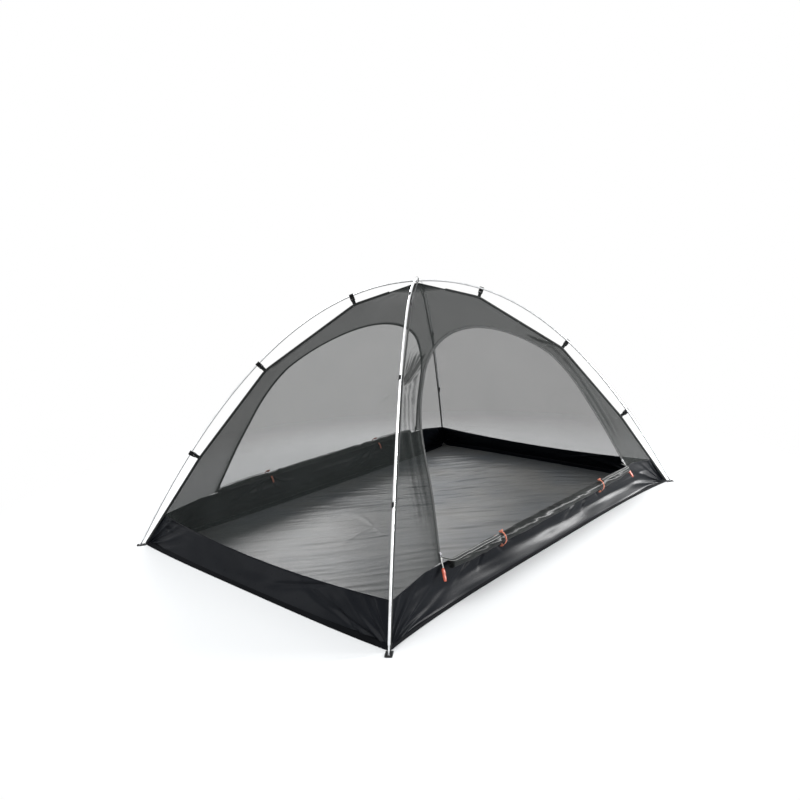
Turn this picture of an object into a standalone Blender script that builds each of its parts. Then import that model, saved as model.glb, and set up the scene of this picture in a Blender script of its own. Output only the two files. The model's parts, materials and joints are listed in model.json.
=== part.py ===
# Two-door mosquito net tent: a sheet floor with a low waterproof wall, four net panels hung on
# hooks from two crossing bent poles, and a rolled door in each long side.
# Metres, +Z up. The origin is on the ground under the crossing of the poles. X runs along the
# tent, and the front door faces -Y.

import math

import bmesh
import bpy
import numpy as np
from mathutils import Matrix, Vector

# Overall size, measured between the feet of the poles
FOOT_LENGTH = 2.10
FOOT_WIDTH = 1.47
CROSSING_HEIGHT = 1.075
POLE_CURVE_POWER = 2.1

# Clearances
SEAM_GAP = 0.0003
RUN_CLEARANCE = 0.0003
OVERRUN = 0.010
WELD_DISTANCE = 0.000001

# Poles
SECTION_COUNT = 5
SECTION_SPANS = 8
POLE_RADIUS = 0.00425
POLE_BORE_RADIUS = 0.00345
FERRULE_RADIUS = 0.0030
FERRULE_BORE_RADIUS = 0.0020
FERRULE_LENGTH = 0.060
STEP_LENGTH = 0.0004
TIP_RADIUS = 0.0026
TIP_LENGTH = 0.026
TIP_PLUG_LENGTH = 0.012
SHOCK_CORD_RADIUS = 0.00125
KNOT_RADIUS = 0.0019
KNOT_LENGTH = 0.006

# Floor and bathtub wall
GROUND_CORNER_SHARE = 0.984
FLOOR_THICKNESS = 0.0010
FLOOR_SIDE_SAG = 0.036
FLOOR_END_BULGE = 0.014
SILL_HEIGHT = 0.152
WALL_CORNER_HEIGHT = 0.125
WALL_END_DIP = 0.026
WALL_THICKNESS = 0.0010
WALL_COLUMNS = 12
WALL_FOLD_DEPTH = 0.007
WALL_FOLD_COUNT = 4
WALL_FOLD_SLANT = 0.9
WALL_FOLD_COLUMNS = 24
WALL_FOLD_ROWS = 4
CORNER_TRIM = 0.0023

# Net canopy and its ridge bindings
NET_THICKNESS = 0.0010
BINDING_RADIUS = 0.0035
CLIP_SHARES = (0.80, 0.55, 0.22)
CLIP_REACH = 0.045
APEX_DROP = 0.015
PATCH_SHARE = 0.10

# Pole hooks and the webbing tabs that hold them
HOOK_REACH = 0.020
HOOK_WALL = 0.0022
HOOK_LIP = 0.0025
HOOK_STEM = 0.0030
HOOK_CHEEK = 0.0017
HOOK_SLOT_LENGTH = 0.0061
HOOK_BAR_FLAT = 0.0019
TAB_WIDTH = 0.0124
TAB_THICKNESS = 0.0012

# Corner straps with their eyelets
STRAP_WIDTH = 0.025
STRAP_THICKNESS = 0.0016
STRAP_LIFT = 0.0005
STRAP_TAIL = 0.016
EYELET_RADIUS = 0.0095
EYELET_HOLE_RADIUS = 0.0062

# Apex tie
TIE_CORD_RADIUS = 0.0015
TIE_CLEARANCE = 0.0005

# Door opening and zip. The door's outline is laid out on the flattened wall: x across the
# wall, and v up the wall's slope from the top of the bathtub wall. The side margin is from the
# poles' feet to the door's foot, the top margin from the apex down the slope to the door's top,
# and the lean is how far the door narrows from its foot to its arch.
DOOR_SIDE_MARGIN = 0.350
DOOR_TOP_MARGIN = 0.335
DOOR_LEAN = 0.100
ZIP_START = 0.004
ZIP_TAPE_WIDTH = 0.012
ZIP_TAPE_THICKNESS = 0.0016
ZIP_EDGE_GAP = 0.0008
ZIP_STRAIGHT_STEPS = 8
ZIP_ARC_STEPS = 22

# Zip sliders
SLIDER_REST = 0.030
SLIDER_LENGTH = 0.014
SLIDER_PLATE = 0.0012
SLIDER_LIP = 0.001
BRIDGE_LENGTH = 0.0104
BRIDGE_BAR = 0.0014
BRIDGE_CLEAR_HEIGHT = 0.0026
BRIDGE_WIDTH = 0.0020

# Zip pulls: a wire loop, a cord and a moulded tab
PULL_WIRE_RADIUS = 0.0008
PULL_LOOP_HALF_WIDTH = 0.0033
PULL_LOOP_LENGTH = 0.009
PULL_CORD_RADIUS = 0.0013
PULL_CORD_LENGTH = 0.034
PULL_TAB_RADIUS = 0.0030
PULL_TAB_LENGTH = 0.046
PULL_TAB_SHARES = (0.85, 1.0, 0.9, 0.8, 0.45)
PULL_REST_TILT = math.radians(4)

# Rolled doors and their ties
ROLL_END_MARGIN = 0.030
ROLL_RADIUS = 0.024
ROLL_DROP = 0.010
ROLL_CLEARANCE = 0.001
ROLL_RADIUS_SHARES = (0.70, 0.92, 0.97, 0.94, 1.0, 1.0, 1.0, 1.0, 1.0, 0.94, 0.98, 0.94, 0.74)
ROLL_SIDE_STEPS = 4
FLAP_REACH = 0.008
FLAP_THICKNESS = 0.0010
FLAP_END_MARGIN = 0.020
FLAP_CLEARANCE = 0.0004
DOOR_TIE_OFFSET = 0.380
DOOR_TIE_RADIUS = 0.0018
DOOR_TIE_CLEARANCE = 0.0008
DOOR_TIE_SWEEP = math.radians(168)
DOOR_TIE_STEPS = 14
TOGGLE_RADIUS = 0.0032
TOGGLE_LENGTH = 0.024

# Corners of the plan: name, side in X, side in Y
CORNERS = (
    ("front_left", -1, -1),
    ("front_right", 1, -1),
    ("back_left", -1, 1),
    ("back_right", 1, 1),
)

# Derived sizes
HALF_LENGTH = FOOT_LENGTH / 2
HALF_WIDTH = FOOT_WIDTH / 2
HALF_DIAGONAL = math.hypot(HALF_LENGTH, HALF_WIDTH)
POLE_SPACING = 2 * POLE_RADIUS + SEAM_GAP
FOOT_RISE = TIP_RADIUS
STRAP_TOP = STRAP_LIFT + STRAP_THICKNESS
WALL_FOOT = FLOOR_THICKNESS + SEAM_GAP + WALL_THICKNESS / 4
DOOR_HALF_WIDTH = HALF_LENGTH - DOOR_SIDE_MARGIN
DOOR_ARC_RADIUS = DOOR_HALF_WIDTH - DOOR_LEAN
ROLL_HALF_LENGTH = DOOR_HALF_WIDTH - ROLL_END_MARGIN
FLAP_HALF_LENGTH = ROLL_HALF_LENGTH - FLAP_END_MARGIN


def clear_scene():
    for obj in list(bpy.data.objects):
        bpy.data.objects.remove(obj, do_unlink=True)


def make_collection(name):
    collection = bpy.data.collections.new(name)
    bpy.context.scene.collection.children.link(collection)
    return collection


clear_scene()
TENT = make_collection("mosquito_net_tent")
CUTTERS = make_collection("cutters")


def make_material(name, colour, roughness, metallic=0.0, alpha=1.0):
    material = bpy.data.materials.new(name)
    material.use_nodes = True
    shader = material.node_tree.nodes["Principled BSDF"]
    shader.inputs["Base Color"].default_value = (*colour, 1.0)
    shader.inputs["Roughness"].default_value = roughness
    shader.inputs["Metallic"].default_value = metallic
    shader.inputs["Alpha"].default_value = alpha
    return material


NET = make_material("black_net", (0.030, 0.034, 0.034), 0.85, alpha=0.55)
FLOOR_CLOTH = make_material("grey_floor_cloth", (0.20, 0.21, 0.22), 0.45)
WALL_CLOTH = make_material("black_wall_cloth", (0.018, 0.020, 0.026), 0.50)
BINDING = make_material("black_binding", (0.012, 0.013, 0.013), 0.75)
WEBBING = make_material("black_webbing", (0.020, 0.022, 0.022), 0.80)
ALLOY = make_material("silver_alloy", (0.78, 0.79, 0.80), 0.30, metallic=1.0)
ELASTIC = make_material("white_elastic", (0.75, 0.75, 0.72), 0.70)
HOOK_PLASTIC = make_material("black_plastic", (0.015, 0.015, 0.016), 0.40)
ZIP_TAPE = make_material("black_zip_tape", (0.015, 0.016, 0.016), 0.70)
SLIDER_METAL = make_material("dark_slider_metal", (0.10, 0.10, 0.11), 0.35, metallic=1.0)
PULL_ORANGE = make_material("orange_pull", (0.62, 0.12, 0.04), 0.55)
TIE_ORANGE = make_material("orange_elastic", (0.70, 0.20, 0.10), 0.65)


# Building blocks

def place(obj, material, matrix=None, collection=TENT):
    if matrix is not None:
        obj.matrix_world = matrix
    if material is not None:
        obj.data.materials.append(material)
    collection.objects.link(obj)
    return obj


def hide_helper(obj):
    for collection in list(obj.users_collection):
        collection.objects.unlink(obj)
    CUTTERS.objects.link(obj)
    obj.hide_render = True
    obj.display_type = "WIRE"
    return obj


def curve_to_mesh(obj):
    # A curve's caps are loose, so they are welded once it is a mesh.
    bpy.context.view_layer.update()
    graph = bpy.context.evaluated_depsgraph_get()
    mesh = bpy.data.meshes.new_from_object(obj.evaluated_get(graph))
    work = bmesh.new()
    work.from_mesh(mesh)
    bmesh.ops.remove_doubles(work, verts=work.verts, dist=WELD_DISTANCE)
    bmesh.ops.recalc_face_normals(work, faces=work.faces)
    work.to_mesh(mesh)
    work.free()
    made = bpy.data.objects.new(obj.name + "_mesh", mesh)
    made.matrix_world = obj.matrix_world.copy()
    for collection in obj.users_collection:
        collection.objects.link(made)
    name = obj.name
    bpy.data.objects.remove(obj, do_unlink=True)
    made.name = name
    return made


def tube(name, points, radii, material=None, resolution=2, closed=False, matrix=None):
    curve = bpy.data.curves.new(name, "CURVE")
    curve.dimensions = "3D"
    curve.bevel_depth = max(radii)
    curve.bevel_resolution = resolution
    curve.use_fill_caps = True
    spline = curve.splines.new("POLY")
    spline.points.add(len(points) - 1)
    for knot, point, radius in zip(spline.points, points, radii):
        knot.co = (*point, 1)
        knot.radius = radius / max(radii)
    spline.use_cyclic_u = closed
    return place(bpy.data.objects.new(name, curve), material, matrix)


def plate(name, outlines, half_thickness, material=None, matrix=None):
    # A flat outline in its own XY plane, thick along its own Z. Later outlines are holes.
    curve = bpy.data.curves.new(name, "CURVE")
    curve.dimensions = "2D"
    curve.fill_mode = "BOTH"
    curve.extrude = half_thickness
    for outline in outlines:
        spline = curve.splines.new("POLY")
        spline.points.add(len(outline) - 1)
        for knot, point in zip(spline.points, outline):
            knot.co = (point[0], point[1], 0, 1)
        spline.use_cyclic_u = True
    obj = place(bpy.data.objects.new(name, curve), material, matrix)
    return curve_to_mesh(obj)


def sheet(name, rows, thickness, material):
    # An open cloth surface through a grid of points, given its thickness by Solidify.
    work = bmesh.new()
    grid = [[work.verts.new(point) for point in row] for row in rows]
    for lower, upper in zip(grid, grid[1:]):
        for i in range(len(lower) - 1):
            work.faces.new((lower[i], lower[i + 1], upper[i + 1], upper[i]))
    return finish_sheet(name, work, thickness, material)


def finish_sheet(name, work, thickness, material):
    mesh = bpy.data.meshes.new(name)
    bmesh.ops.recalc_face_normals(work, faces=work.faces)
    work.to_mesh(mesh)
    work.free()
    obj = place(bpy.data.objects.new(name, mesh), material)
    solidify = obj.modifiers.new("cloth_thickness", "SOLIDIFY")
    solidify.thickness = thickness
    solidify.offset = 0
    solidify.use_even_offset = True
    return obj


def boolean(obj, other, operation):
    modifier = obj.modifiers.new(operation.lower() + "_" + other.name, "BOOLEAN")
    modifier.operation = operation
    modifier.object = hide_helper(other)
    return obj


def arc(centre, radius, start, end, steps):
    return [
        (
            centre[0] + radius * math.cos(start + (end - start) * i / steps),
            centre[1] + radius * math.sin(start + (end - start) * i / steps),
        )
        for i in range(steps + 1)
    ]


def frame_matrix(x_axis, y_axis, z_axis, origin):
    return Matrix.Translation(origin) @ Matrix((x_axis, y_axis, z_axis)).transposed().to_4x4()


# The poles' bent line, as distance from the centre and height in the diagonal plane

def pole_line(crossing):
    # Stations by length along the pole. Both ends of each section have the same stations, so
    # that a ferrule and the socket round it bend alike.
    shares = np.linspace(-1, 1, 2001)
    across = shares * HALF_DIAGONAL
    height = FOOT_RISE + (crossing - FOOT_RISE) * (1 - np.abs(shares) ** POLE_CURVE_POWER)
    steps = np.hypot(np.diff(across), np.diff(height))
    length = np.concatenate([[0], np.cumsum(steps)])
    section = length[-1] / SECTION_COUNT
    middle = np.linspace(FERRULE_LENGTH, section - FERRULE_LENGTH, SECTION_SPANS + 1)
    local = np.concatenate([[0, FERRULE_LENGTH / 2], middle, [section - FERRULE_LENGTH / 2]])
    marks = np.concatenate([local + i * section for i in range(SECTION_COUNT)] + [[length[-1]]])
    return {
        "marks": marks,
        "across": np.interp(marks, length, across),
        "height": np.interp(marks, length, height),
        "section": section,
    }


UPPER_LINE = pole_line(CROSSING_HEIGHT + POLE_SPACING / 2)
LOWER_LINE = pole_line(CROSSING_HEIGHT - POLE_SPACING / 2)
MEAN_LINE = pole_line(CROSSING_HEIGHT)
POLES = (
    ("pole_a", UPPER_LINE, Vector((HALF_LENGTH, HALF_WIDTH, 0)).normalized()),
    ("pole_b", LOWER_LINE, Vector((HALF_LENGTH, -HALF_WIDTH, 0)).normalized()),
)


def point_on_pole(line, direction, mark):
    across = float(np.interp(mark, line["marks"], line["across"]))
    height = float(np.interp(mark, line["marks"], line["height"]))
    return direction * across + Vector((0, 0, height))


def pole_stretch(line, direction, start, end):
    inside = [m for m in line["marks"] if start + STEP_LENGTH < m < end - STEP_LENGTH]
    return [point_on_pole(line, direction, m) for m in [start, *inside, end]]


def stepped_tube(name, line, direction, stretches, material=None, resolution=2):
    # Stretches of (start, end, radius) along the pole, each joined to the next by a short step.
    points, radii = [], []
    for start, end, radius in stretches:
        part = pole_stretch(line, direction, start, end)
        points += part
        radii += [radius] * len(part)
    return curve_to_mesh(tube(name, points, radii, material, resolution))


def make_pole(name, line, direction):
    section = line["section"]
    total = section * SECTION_COUNT
    for i in range(SECTION_COUNT):
        start, end = i * section, (i + 1) * section
        first, last = i == 0, i == SECTION_COUNT - 1
        if first:
            outside = [
                (start, start + TIP_LENGTH, TIP_RADIUS),
                (start + TIP_LENGTH + STEP_LENGTH, end - SEAM_GAP, POLE_RADIUS),
            ]
            bore_start = start + TIP_LENGTH + TIP_PLUG_LENGTH
        elif last:
            outside = [
                (start, end - TIP_LENGTH - STEP_LENGTH, POLE_RADIUS),
                (end - TIP_LENGTH, end, TIP_RADIUS),
            ]
            bore_start = start - OVERRUN
        else:
            outside = [(start, end - SEAM_GAP, POLE_RADIUS)]
            bore_start = start - OVERRUN
        if last:
            inside = [(bore_start, end - TIP_LENGTH - TIP_PLUG_LENGTH, POLE_BORE_RADIUS)]
        else:
            spigot_end = end + FERRULE_LENGTH - SEAM_GAP
            outside.append((end - SEAM_GAP + STEP_LENGTH, spigot_end, FERRULE_RADIUS))
            inside = [
                (bore_start, end - FERRULE_LENGTH - STEP_LENGTH, POLE_BORE_RADIUS),
                (end - FERRULE_LENGTH, spigot_end + OVERRUN, FERRULE_BORE_RADIUS),
            ]
        part = stepped_tube(f"{name}_section_{i + 1}", line, direction, outside, ALLOY)
        bore = stepped_tube(f"{name}_bore_{i + 1}", line, direction, inside)
        boolean(part, bore, "DIFFERENCE")
    start = TIP_LENGTH + TIP_PLUG_LENGTH + RUN_CLEARANCE
    end = total - start
    knot = KNOT_LENGTH + STEP_LENGTH
    cord = [
        (start, start + KNOT_LENGTH, KNOT_RADIUS),
        (start + knot, end - knot, SHOCK_CORD_RADIUS),
        (end - KNOT_LENGTH, end, KNOT_RADIUS),
    ]
    stepped_tube("shock_cord_" + name[-1], line, direction, cord, ELASTIC, resolution=1)


# The ridge of the canopy, as distance from the centre and height in the diagonal plane

def chord_near(line, share):
    middles = (line["across"][:-1] + line["across"][1:]) / 2
    return int(np.argmin(np.abs(middles - share * HALF_DIAGONAL)))


CLIP_CHORDS = [chord_near(MEAN_LINE, share) for share in CLIP_SHARES]


def chord_frame(line, chord):
    # Middle and direction of one straight stretch of a pole, in the diagonal plane.
    start = Vector((line["across"][chord], line["height"][chord]))
    end = Vector((line["across"][chord + 1], line["height"][chord + 1]))
    return (start + end) / 2, (end - start).normalized()


def ridge_points():
    points = [Vector((GROUND_CORNER_SHARE * HALF_DIAGONAL, 0))]
    for chord in CLIP_CHORDS:
        middle, along = chord_frame(MEAN_LINE, chord)
        inward = Vector((along.y, -along.x))
        points.append(middle + inward * CLIP_REACH)
    points.append(Vector((0, CROSSING_HEIGHT - APEX_DROP)))
    return points


RIDGE = ridge_points()


def ridge_at_height(height):
    for lower, upper in zip(RIDGE, RIDGE[1:]):
        if lower.y <= height <= upper.y:
            return lower.lerp(upper, (height - lower.y) / (upper.y - lower.y))
    return RIDGE[-1]


def ridge_at_share(share):
    # A point on the top stretch of the ridge, by its share of the half diagonal.
    lower, upper = RIDGE[-2], RIDGE[-1]
    return lower.lerp(upper, 1 - share * HALF_DIAGONAL / lower.x)


def corner_point(ridge, side_x, side_y):
    share = ridge.x / HALF_DIAGONAL
    return Vector((side_x * share * HALF_LENGTH, side_y * share * HALF_WIDTH, ridge.y))


SILL = ridge_at_height(SILL_HEIGHT)
PATCH_EDGE = ridge_at_share(PATCH_SHARE)


def slope_share(lower, upper, across, up):
    # How far a panel's side edge leans over, as its run across for each unit up the slope.
    run = (lower.x - upper.x) / HALF_DIAGONAL
    length = math.hypot(run * up, upper.y - lower.y)
    return run * across / length


def side_inset(leans):
    return (BINDING_RADIUS + SEAM_GAP) * math.sqrt(1 + max(leans) ** 2)


def panel_rows(door_wall):
    # Rows of (place across, distance out, height), from the bathtub wall to the apex patch.
    across, out = (HALF_LENGTH, HALF_WIDTH) if door_wall else (HALF_WIDTH, HALF_LENGTH)
    slope_gap = (PATCH_EDGE - RIDGE[-2]).normalized() * (SEAM_GAP + NET_THICKNESS / 4)
    stations = [SILL, *RIDGE[1:-1], PATCH_EDGE - slope_gap]
    leans = [slope_share(a, b, across, out) for a, b in zip(stations, stations[1:])]
    columns = [-1 + 2 * i / WALL_COLUMNS for i in range(WALL_COLUMNS + 1)]
    rows = []
    for i, station in enumerate(stations):
        inset = side_inset(leans[max(i - 1, 0) : i + 1])
        row = []
        for column in columns:
            ridge = station if i else ridge_at_height(wall_top(door_wall, column))
            share = ridge.x / HALF_DIAGONAL
            row.append((column * (share * across - inset), share * out, ridge.y))
        rows.append(row)
    return rows


def wall_top(door_wall, column):
    # The bathtub wall's height at a share of the way from its middle to its corners.
    if not door_wall:
        return WALL_CORNER_HEIGHT - WALL_END_DIP * (1 - column**2)
    return WALL_CORNER_HEIGHT if abs(column) == 1 else SILL_HEIGHT


# Floor and bathtub wall

GROUND = corner_point(RIDGE[0], 1, 1)


def edge_sag(door_wall, column):
    # How far the floor's edge lies inside the straight line between its corners.
    return (FLOOR_SIDE_SAG if door_wall else -FLOOR_END_BULGE) * (1 - column**4)


def make_floor():
    columns = [-1 + 2 * i / WALL_COLUMNS for i in range(WALL_COLUMNS)]
    outline = [(c * GROUND.x, -GROUND.y + edge_sag(True, c)) for c in columns]
    outline += [(GROUND.x - edge_sag(False, c), c * GROUND.y) for c in columns]
    outline += [(-c * GROUND.x, GROUND.y - edge_sag(True, c)) for c in columns]
    outline += [(-GROUND.x + edge_sag(False, c), -c * GROUND.y) for c in columns]
    lift = Matrix.Translation((0, 0, FLOOR_THICKNESS / 2))
    floor = plate("floor_sheet", [outline], FLOOR_THICKNESS / 2, FLOOR_CLOTH, lift)
    for name, side_x, side_y in CORNERS:
        size = STRAP_WIDTH
        box = [(0, -size), (size, -size), (size, size), (0, size)]
        trim = RIDGE[0].x - CORNER_TRIM
        matrix = corner_frame(side_x, side_y) @ Matrix.Translation((trim, 0, 0))
        boolean(floor, plate(f"floor_trim_{name}", [box], OVERRUN, matrix=matrix), "DIFFERENCE")


def corner_frame(side_x, side_y):
    # X outwards along the diagonal, Z up.
    out = Vector((side_x * HALF_LENGTH, side_y * HALF_WIDTH, 0)).normalized()
    return frame_matrix(out, Vector((-out.y, out.x, 0)), Vector((0, 0, 1)), Vector((0, 0, 0)))


def make_bathtub_wall(name, side_x, side_y):
    # Exactly one of the two sides is zero: the wall stands on the side that isn't.
    door_wall = side_x == 0
    across, out = (HALF_LENGTH, HALF_WIDTH) if door_wall else (HALF_WIDTH, HALF_LENGTH)
    low = ridge_at_height(WALL_FOOT)
    inset = side_inset([slope_share(low, ridge_at_height(WALL_CORNER_HEIGHT), across, out)])
    rows = []
    for j in range(WALL_FOLD_ROWS + 1):
        rise = j / WALL_FOLD_ROWS
        row = []
        for i in range(WALL_FOLD_COLUMNS + 1):
            column = -1 + 2 * i / WALL_FOLD_COLUMNS
            foot, head = wall_edges(door_wall, column, low, across, out, inset)
            place_across, distance, height = foot.lerp(head, rise)
            distance -= wall_fold(column, rise)
            if door_wall:
                row.append((place_across, side_y * distance, height))
            else:
                row.append((side_x * distance, place_across, height))
        rows.append(row)
    sheet(name, rows, WALL_THICKNESS, WALL_CLOTH)


def wall_edges(door_wall, column, low, across, out, inset):
    # The wall's foot and head at a share along it, as (across, out, up). The head is straight
    # between the net's columns.
    places = [-1 + 2 * i / WALL_COLUMNS for i in range(WALL_COLUMNS + 1)]
    tops = [wall_top(door_wall, place) for place in places]
    high = ridge_at_height(float(np.interp(column, places, tops)) - SEAM_GAP)
    edges = []
    for ridge, sag in ((low, edge_sag(door_wall, column)), (high, 0)):
        share = ridge.x / HALF_DIAGONAL
        edges.append(Vector((column * (share * across - inset), share * out - sag, ridge.y)))
    return edges


def wall_fold(column, rise):
    # Main folds of the slack wall: a belly along its length, and slanting folds that run down
    # to the corners. They only go inwards, and fade at every seam.
    edge = math.sin(math.pi * rise) * math.sqrt(1 - column**2)
    slant = abs(column) - WALL_FOLD_SLANT * rise / WALL_FOLD_COUNT
    wave = 0.5 - 0.5 * math.cos(2 * math.pi * WALL_FOLD_COUNT * slant)
    return WALL_FOLD_DEPTH * edge * (0.5 + 0.5 * wave)


# Net panels

def wall_profile():
    # The door wall's slope as (v, distance out, height) at each fold.
    points, v = [], 0.0
    stations = [SILL, *RIDGE[1:]]
    for i, station in enumerate(stations):
        out = station.x / HALF_DIAGONAL * HALF_WIDTH
        if i:
            v += math.hypot(points[-1][1] - out, station.y - points[-1][2])
        points.append((v, out, station.y))
    return np.array(points)


PROFILE = wall_profile()
DOOR_RISE = float(PROFILE[-1, 0]) - DOOR_TOP_MARGIN


def wall_point(x, v, side_y):
    out = float(np.interp(v, PROFILE[:, 0], PROFILE[:, 1]))
    height = float(np.interp(v, PROFILE[:, 0], PROFILE[:, 2]))
    return Vector((x, side_y * out, height))


def door_path():
    # The zip's line on the flattened wall, from the left foot over the top to the right foot,
    # as (x, v, outward x, outward v): a straight run, tangent to an arc, and a straight run.
    centre = DOOR_RISE - DOOR_ARC_RADIUS
    foot = Vector((DOOR_HALF_WIDTH, -centre))
    spread = math.acos(DOOR_ARC_RADIUS / foot.length)
    tangent = math.atan2(foot.y, foot.x) + spread
    out = Vector((math.cos(tangent), math.sin(tangent)))
    touch = out * DOOR_ARC_RADIUS
    start = foot.lerp(touch, ZIP_START / (touch.y - foot.y))
    side = [(start.lerp(touch, i / ZIP_STRAIGHT_STEPS), out) for i in range(ZIP_STRAIGHT_STEPS)]
    top = []
    for i in range(ZIP_ARC_STEPS + 1):
        angle = tangent + (math.pi - 2 * tangent) * i / ZIP_ARC_STEPS
        normal = Vector((math.cos(angle), math.sin(angle)))
        top.append((normal * DOOR_ARC_RADIUS, normal))
    right = [(p.x, p.y + centre, n.x, n.y) for p, n in side + top]
    left = [(-p.x, p.y + centre, -n.x, n.y) for p, n in reversed(side)]
    return right + left


DOOR_PATH = door_path()


def make_net_panel(name, side_x, side_y):
    door_wall = side_x == 0
    rows = panel_rows(door_wall)
    if door_wall:
        rows = [[(across, side_y * out, height) for across, out, height in row] for row in rows]
    else:
        rows = [[(side_x * out, across, height) for across, out, height in row] for row in rows]
    panel = sheet(name, rows, NET_THICKNESS, NET)
    if not door_wall:
        return
    reach = ZIP_TAPE_WIDTH / 2 + ZIP_EDGE_GAP
    outline = []
    for x, v, out_x, out_v in DOOR_PATH:
        point = wall_point(x + reach * out_x, v + reach * out_v, side_y)
        outline.append((point.x, point.z))
    for x_side, index in ((-1, -1), (1, 0)):
        outline.append((x_side * abs(outline[index][0]), SILL_HEIGHT - OVERRUN))
    turn = Matrix.Rotation(math.pi / 2, 4, "X")
    matrix = Matrix.Translation((0, side_y * HALF_WIDTH / 2, 0)) @ turn
    boolean(panel, plate(f"{name}_doorway", [outline], HALF_WIDTH / 2, matrix=matrix), "DIFFERENCE")


def make_zip_track(name, side_y):
    rows = [[], []]
    for x, v, out_x, out_v in DOOR_PATH:
        for row, offset in zip(rows, (-ZIP_TAPE_WIDTH / 2, ZIP_TAPE_WIDTH / 2)):
            row.append(wall_point(x + offset * out_x, v + offset * out_v, side_y))
    sheet(name, rows, ZIP_TAPE_THICKNESS, ZIP_TAPE)


def make_apex_patch():
    work = bmesh.new()
    top = work.verts.new((0, 0, RIDGE[-1].y))
    order = ((-1, -1), (1, -1), (1, 1), (-1, 1))
    ring = [work.verts.new(corner_point(PATCH_EDGE, *sides)) for sides in order]
    for i in range(4):
        work.faces.new((ring[i], ring[(i + 1) % 4], top))
    finish_sheet("apex_patch", work, NET_THICKNESS, NET)


# Ridge bindings with their webbing tabs, and the hooks on the poles

def line_of(side_x, side_y):
    return UPPER_LINE if side_x == side_y else LOWER_LINE


def hook_frame(side_x, side_y, index):
    # Origin on the hook's bar, X outwards to the pole, Z along the pole. The hook's mouth
    # faces +Y, towards the door wall.
    out = Vector((side_x * HALF_LENGTH, side_y * HALF_WIDTH, 0)).normalized()
    middle, along = chord_frame(line_of(side_x, side_y), CLIP_CHORDS[index])
    pole = out * middle.x + Vector((0, 0, middle.y))
    tangent = out * along.x + Vector((0, 0, along.y))
    ridge = corner_point(RIDGE[index + 1], side_x, side_y)
    outward = pole - ridge
    outward = (outward - tangent * outward.dot(tangent)).normalized()
    mouth = tangent.cross(outward)
    if mouth.y * side_y < 0:
        tangent = -tangent
        mouth = -mouth
    reach = (pole - ridge).dot(outward) - HOOK_REACH
    return frame_matrix(outward, mouth, tangent, pole - outward * HOOK_REACH), reach


HOOK_INNER = POLE_RADIUS + RUN_CLEARANCE
HOOK_HALF_WIDTH = TAB_WIDTH / 2 + RUN_CLEARANCE + HOOK_CHEEK


def hook_outline():
    # Seen along the pole, from the bar at the origin to the pole at HOOK_REACH. The mouth is
    # on +Y, and the lip is round about the bar, so that the hook can swing off the pole.
    half = HOOK_STEM / 2
    centre = (HOOK_REACH, 0)
    near = HOOK_REACH - HOOK_INNER
    far = HOOK_REACH + HOOK_INNER
    outer = HOOK_INNER + HOOK_WALL
    stem_angle = math.asin(half / near)
    lip_angle = math.asin(HOOK_LIP / far)
    join_angle = math.pi + math.asin(half / outer)
    outline = arc((0, 0), near, stem_angle, 0, 2)
    outline += arc(centre, HOOK_INNER, math.pi, 2 * math.pi, 10)[1:]
    outline += arc((0, 0), far, 0, lip_angle, 2)[1:]
    outline += arc((0, 0), far + HOOK_WALL, lip_angle, 0, 2)
    outline += arc(centre, outer, 2 * math.pi, join_angle, 10)[1:]
    outline += arc((0, 0), half, 1.5 * math.pi, 0.5 * math.pi, 6)
    return outline


def make_hook(name, matrix):
    hook = plate(name, [hook_outline()], HOOK_HALF_WIDTH, HOOK_PLASTIC, matrix)
    low, high = HOOK_BAR_FLAT, HOOK_BAR_FLAT + HOOK_SLOT_LENGTH
    depth = HOOK_STEM
    slot = [(low, -depth), (high, -depth), (high, depth), (low, depth)]
    cutter = plate(f"{name}_slot", [slot], TAB_WIDTH / 2 + RUN_CLEARANCE, matrix=matrix)
    boolean(hook, cutter, "DIFFERENCE")


def tab_outlines(reach):
    # The webbing seen along the pole: an eye round the hook's bar, and a strip to the ridge.
    eye = math.hypot(HOOK_BAR_FLAT, HOOK_STEM / 2) + RUN_CLEARANCE
    outer = eye + TAB_THICKNESS
    half = TAB_THICKNESS / 2
    gap_angle = math.asin(half / outer)
    around = arc((0, 0), outer, math.pi - gap_angle, gap_angle - math.pi, 12)
    strip = [(-reach, -half), (-reach, half)]
    return [around + strip, arc((0, 0), eye, 0, 2 * math.pi * 11 / 12, 11)]


def make_ridge_binding(name, side_x, side_y):
    rise = (RIDGE[1] - RIDGE[0]).normalized()
    lift = STRAP_TOP + SEAM_GAP + BINDING_RADIUS * abs(rise.x)
    start = RIDGE[0] + rise * (lift / rise.y)
    top = PATCH_EDGE - (RIDGE[-1] - RIDGE[-2]).normalized() * SEAM_GAP
    line = [corner_point(p, side_x, side_y) for p in [start, *RIDGE[1:-1], top]]
    binding = tube(f"ridge_binding_{name}", line, [BINDING_RADIUS] * len(line), BINDING)
    binding = curve_to_mesh(binding)
    for index in range(len(CLIP_CHORDS)):
        matrix, reach = hook_frame(side_x, side_y, index)
        tab = plate(f"tab_{name}_{index + 1}", tab_outlines(reach), TAB_WIDTH / 2, matrix=matrix)
        boolean(binding, tab, "UNION")
        make_hook(f"pole_hook_{name}_{index + 1}", matrix)


# Corner straps and the apex tie

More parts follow.
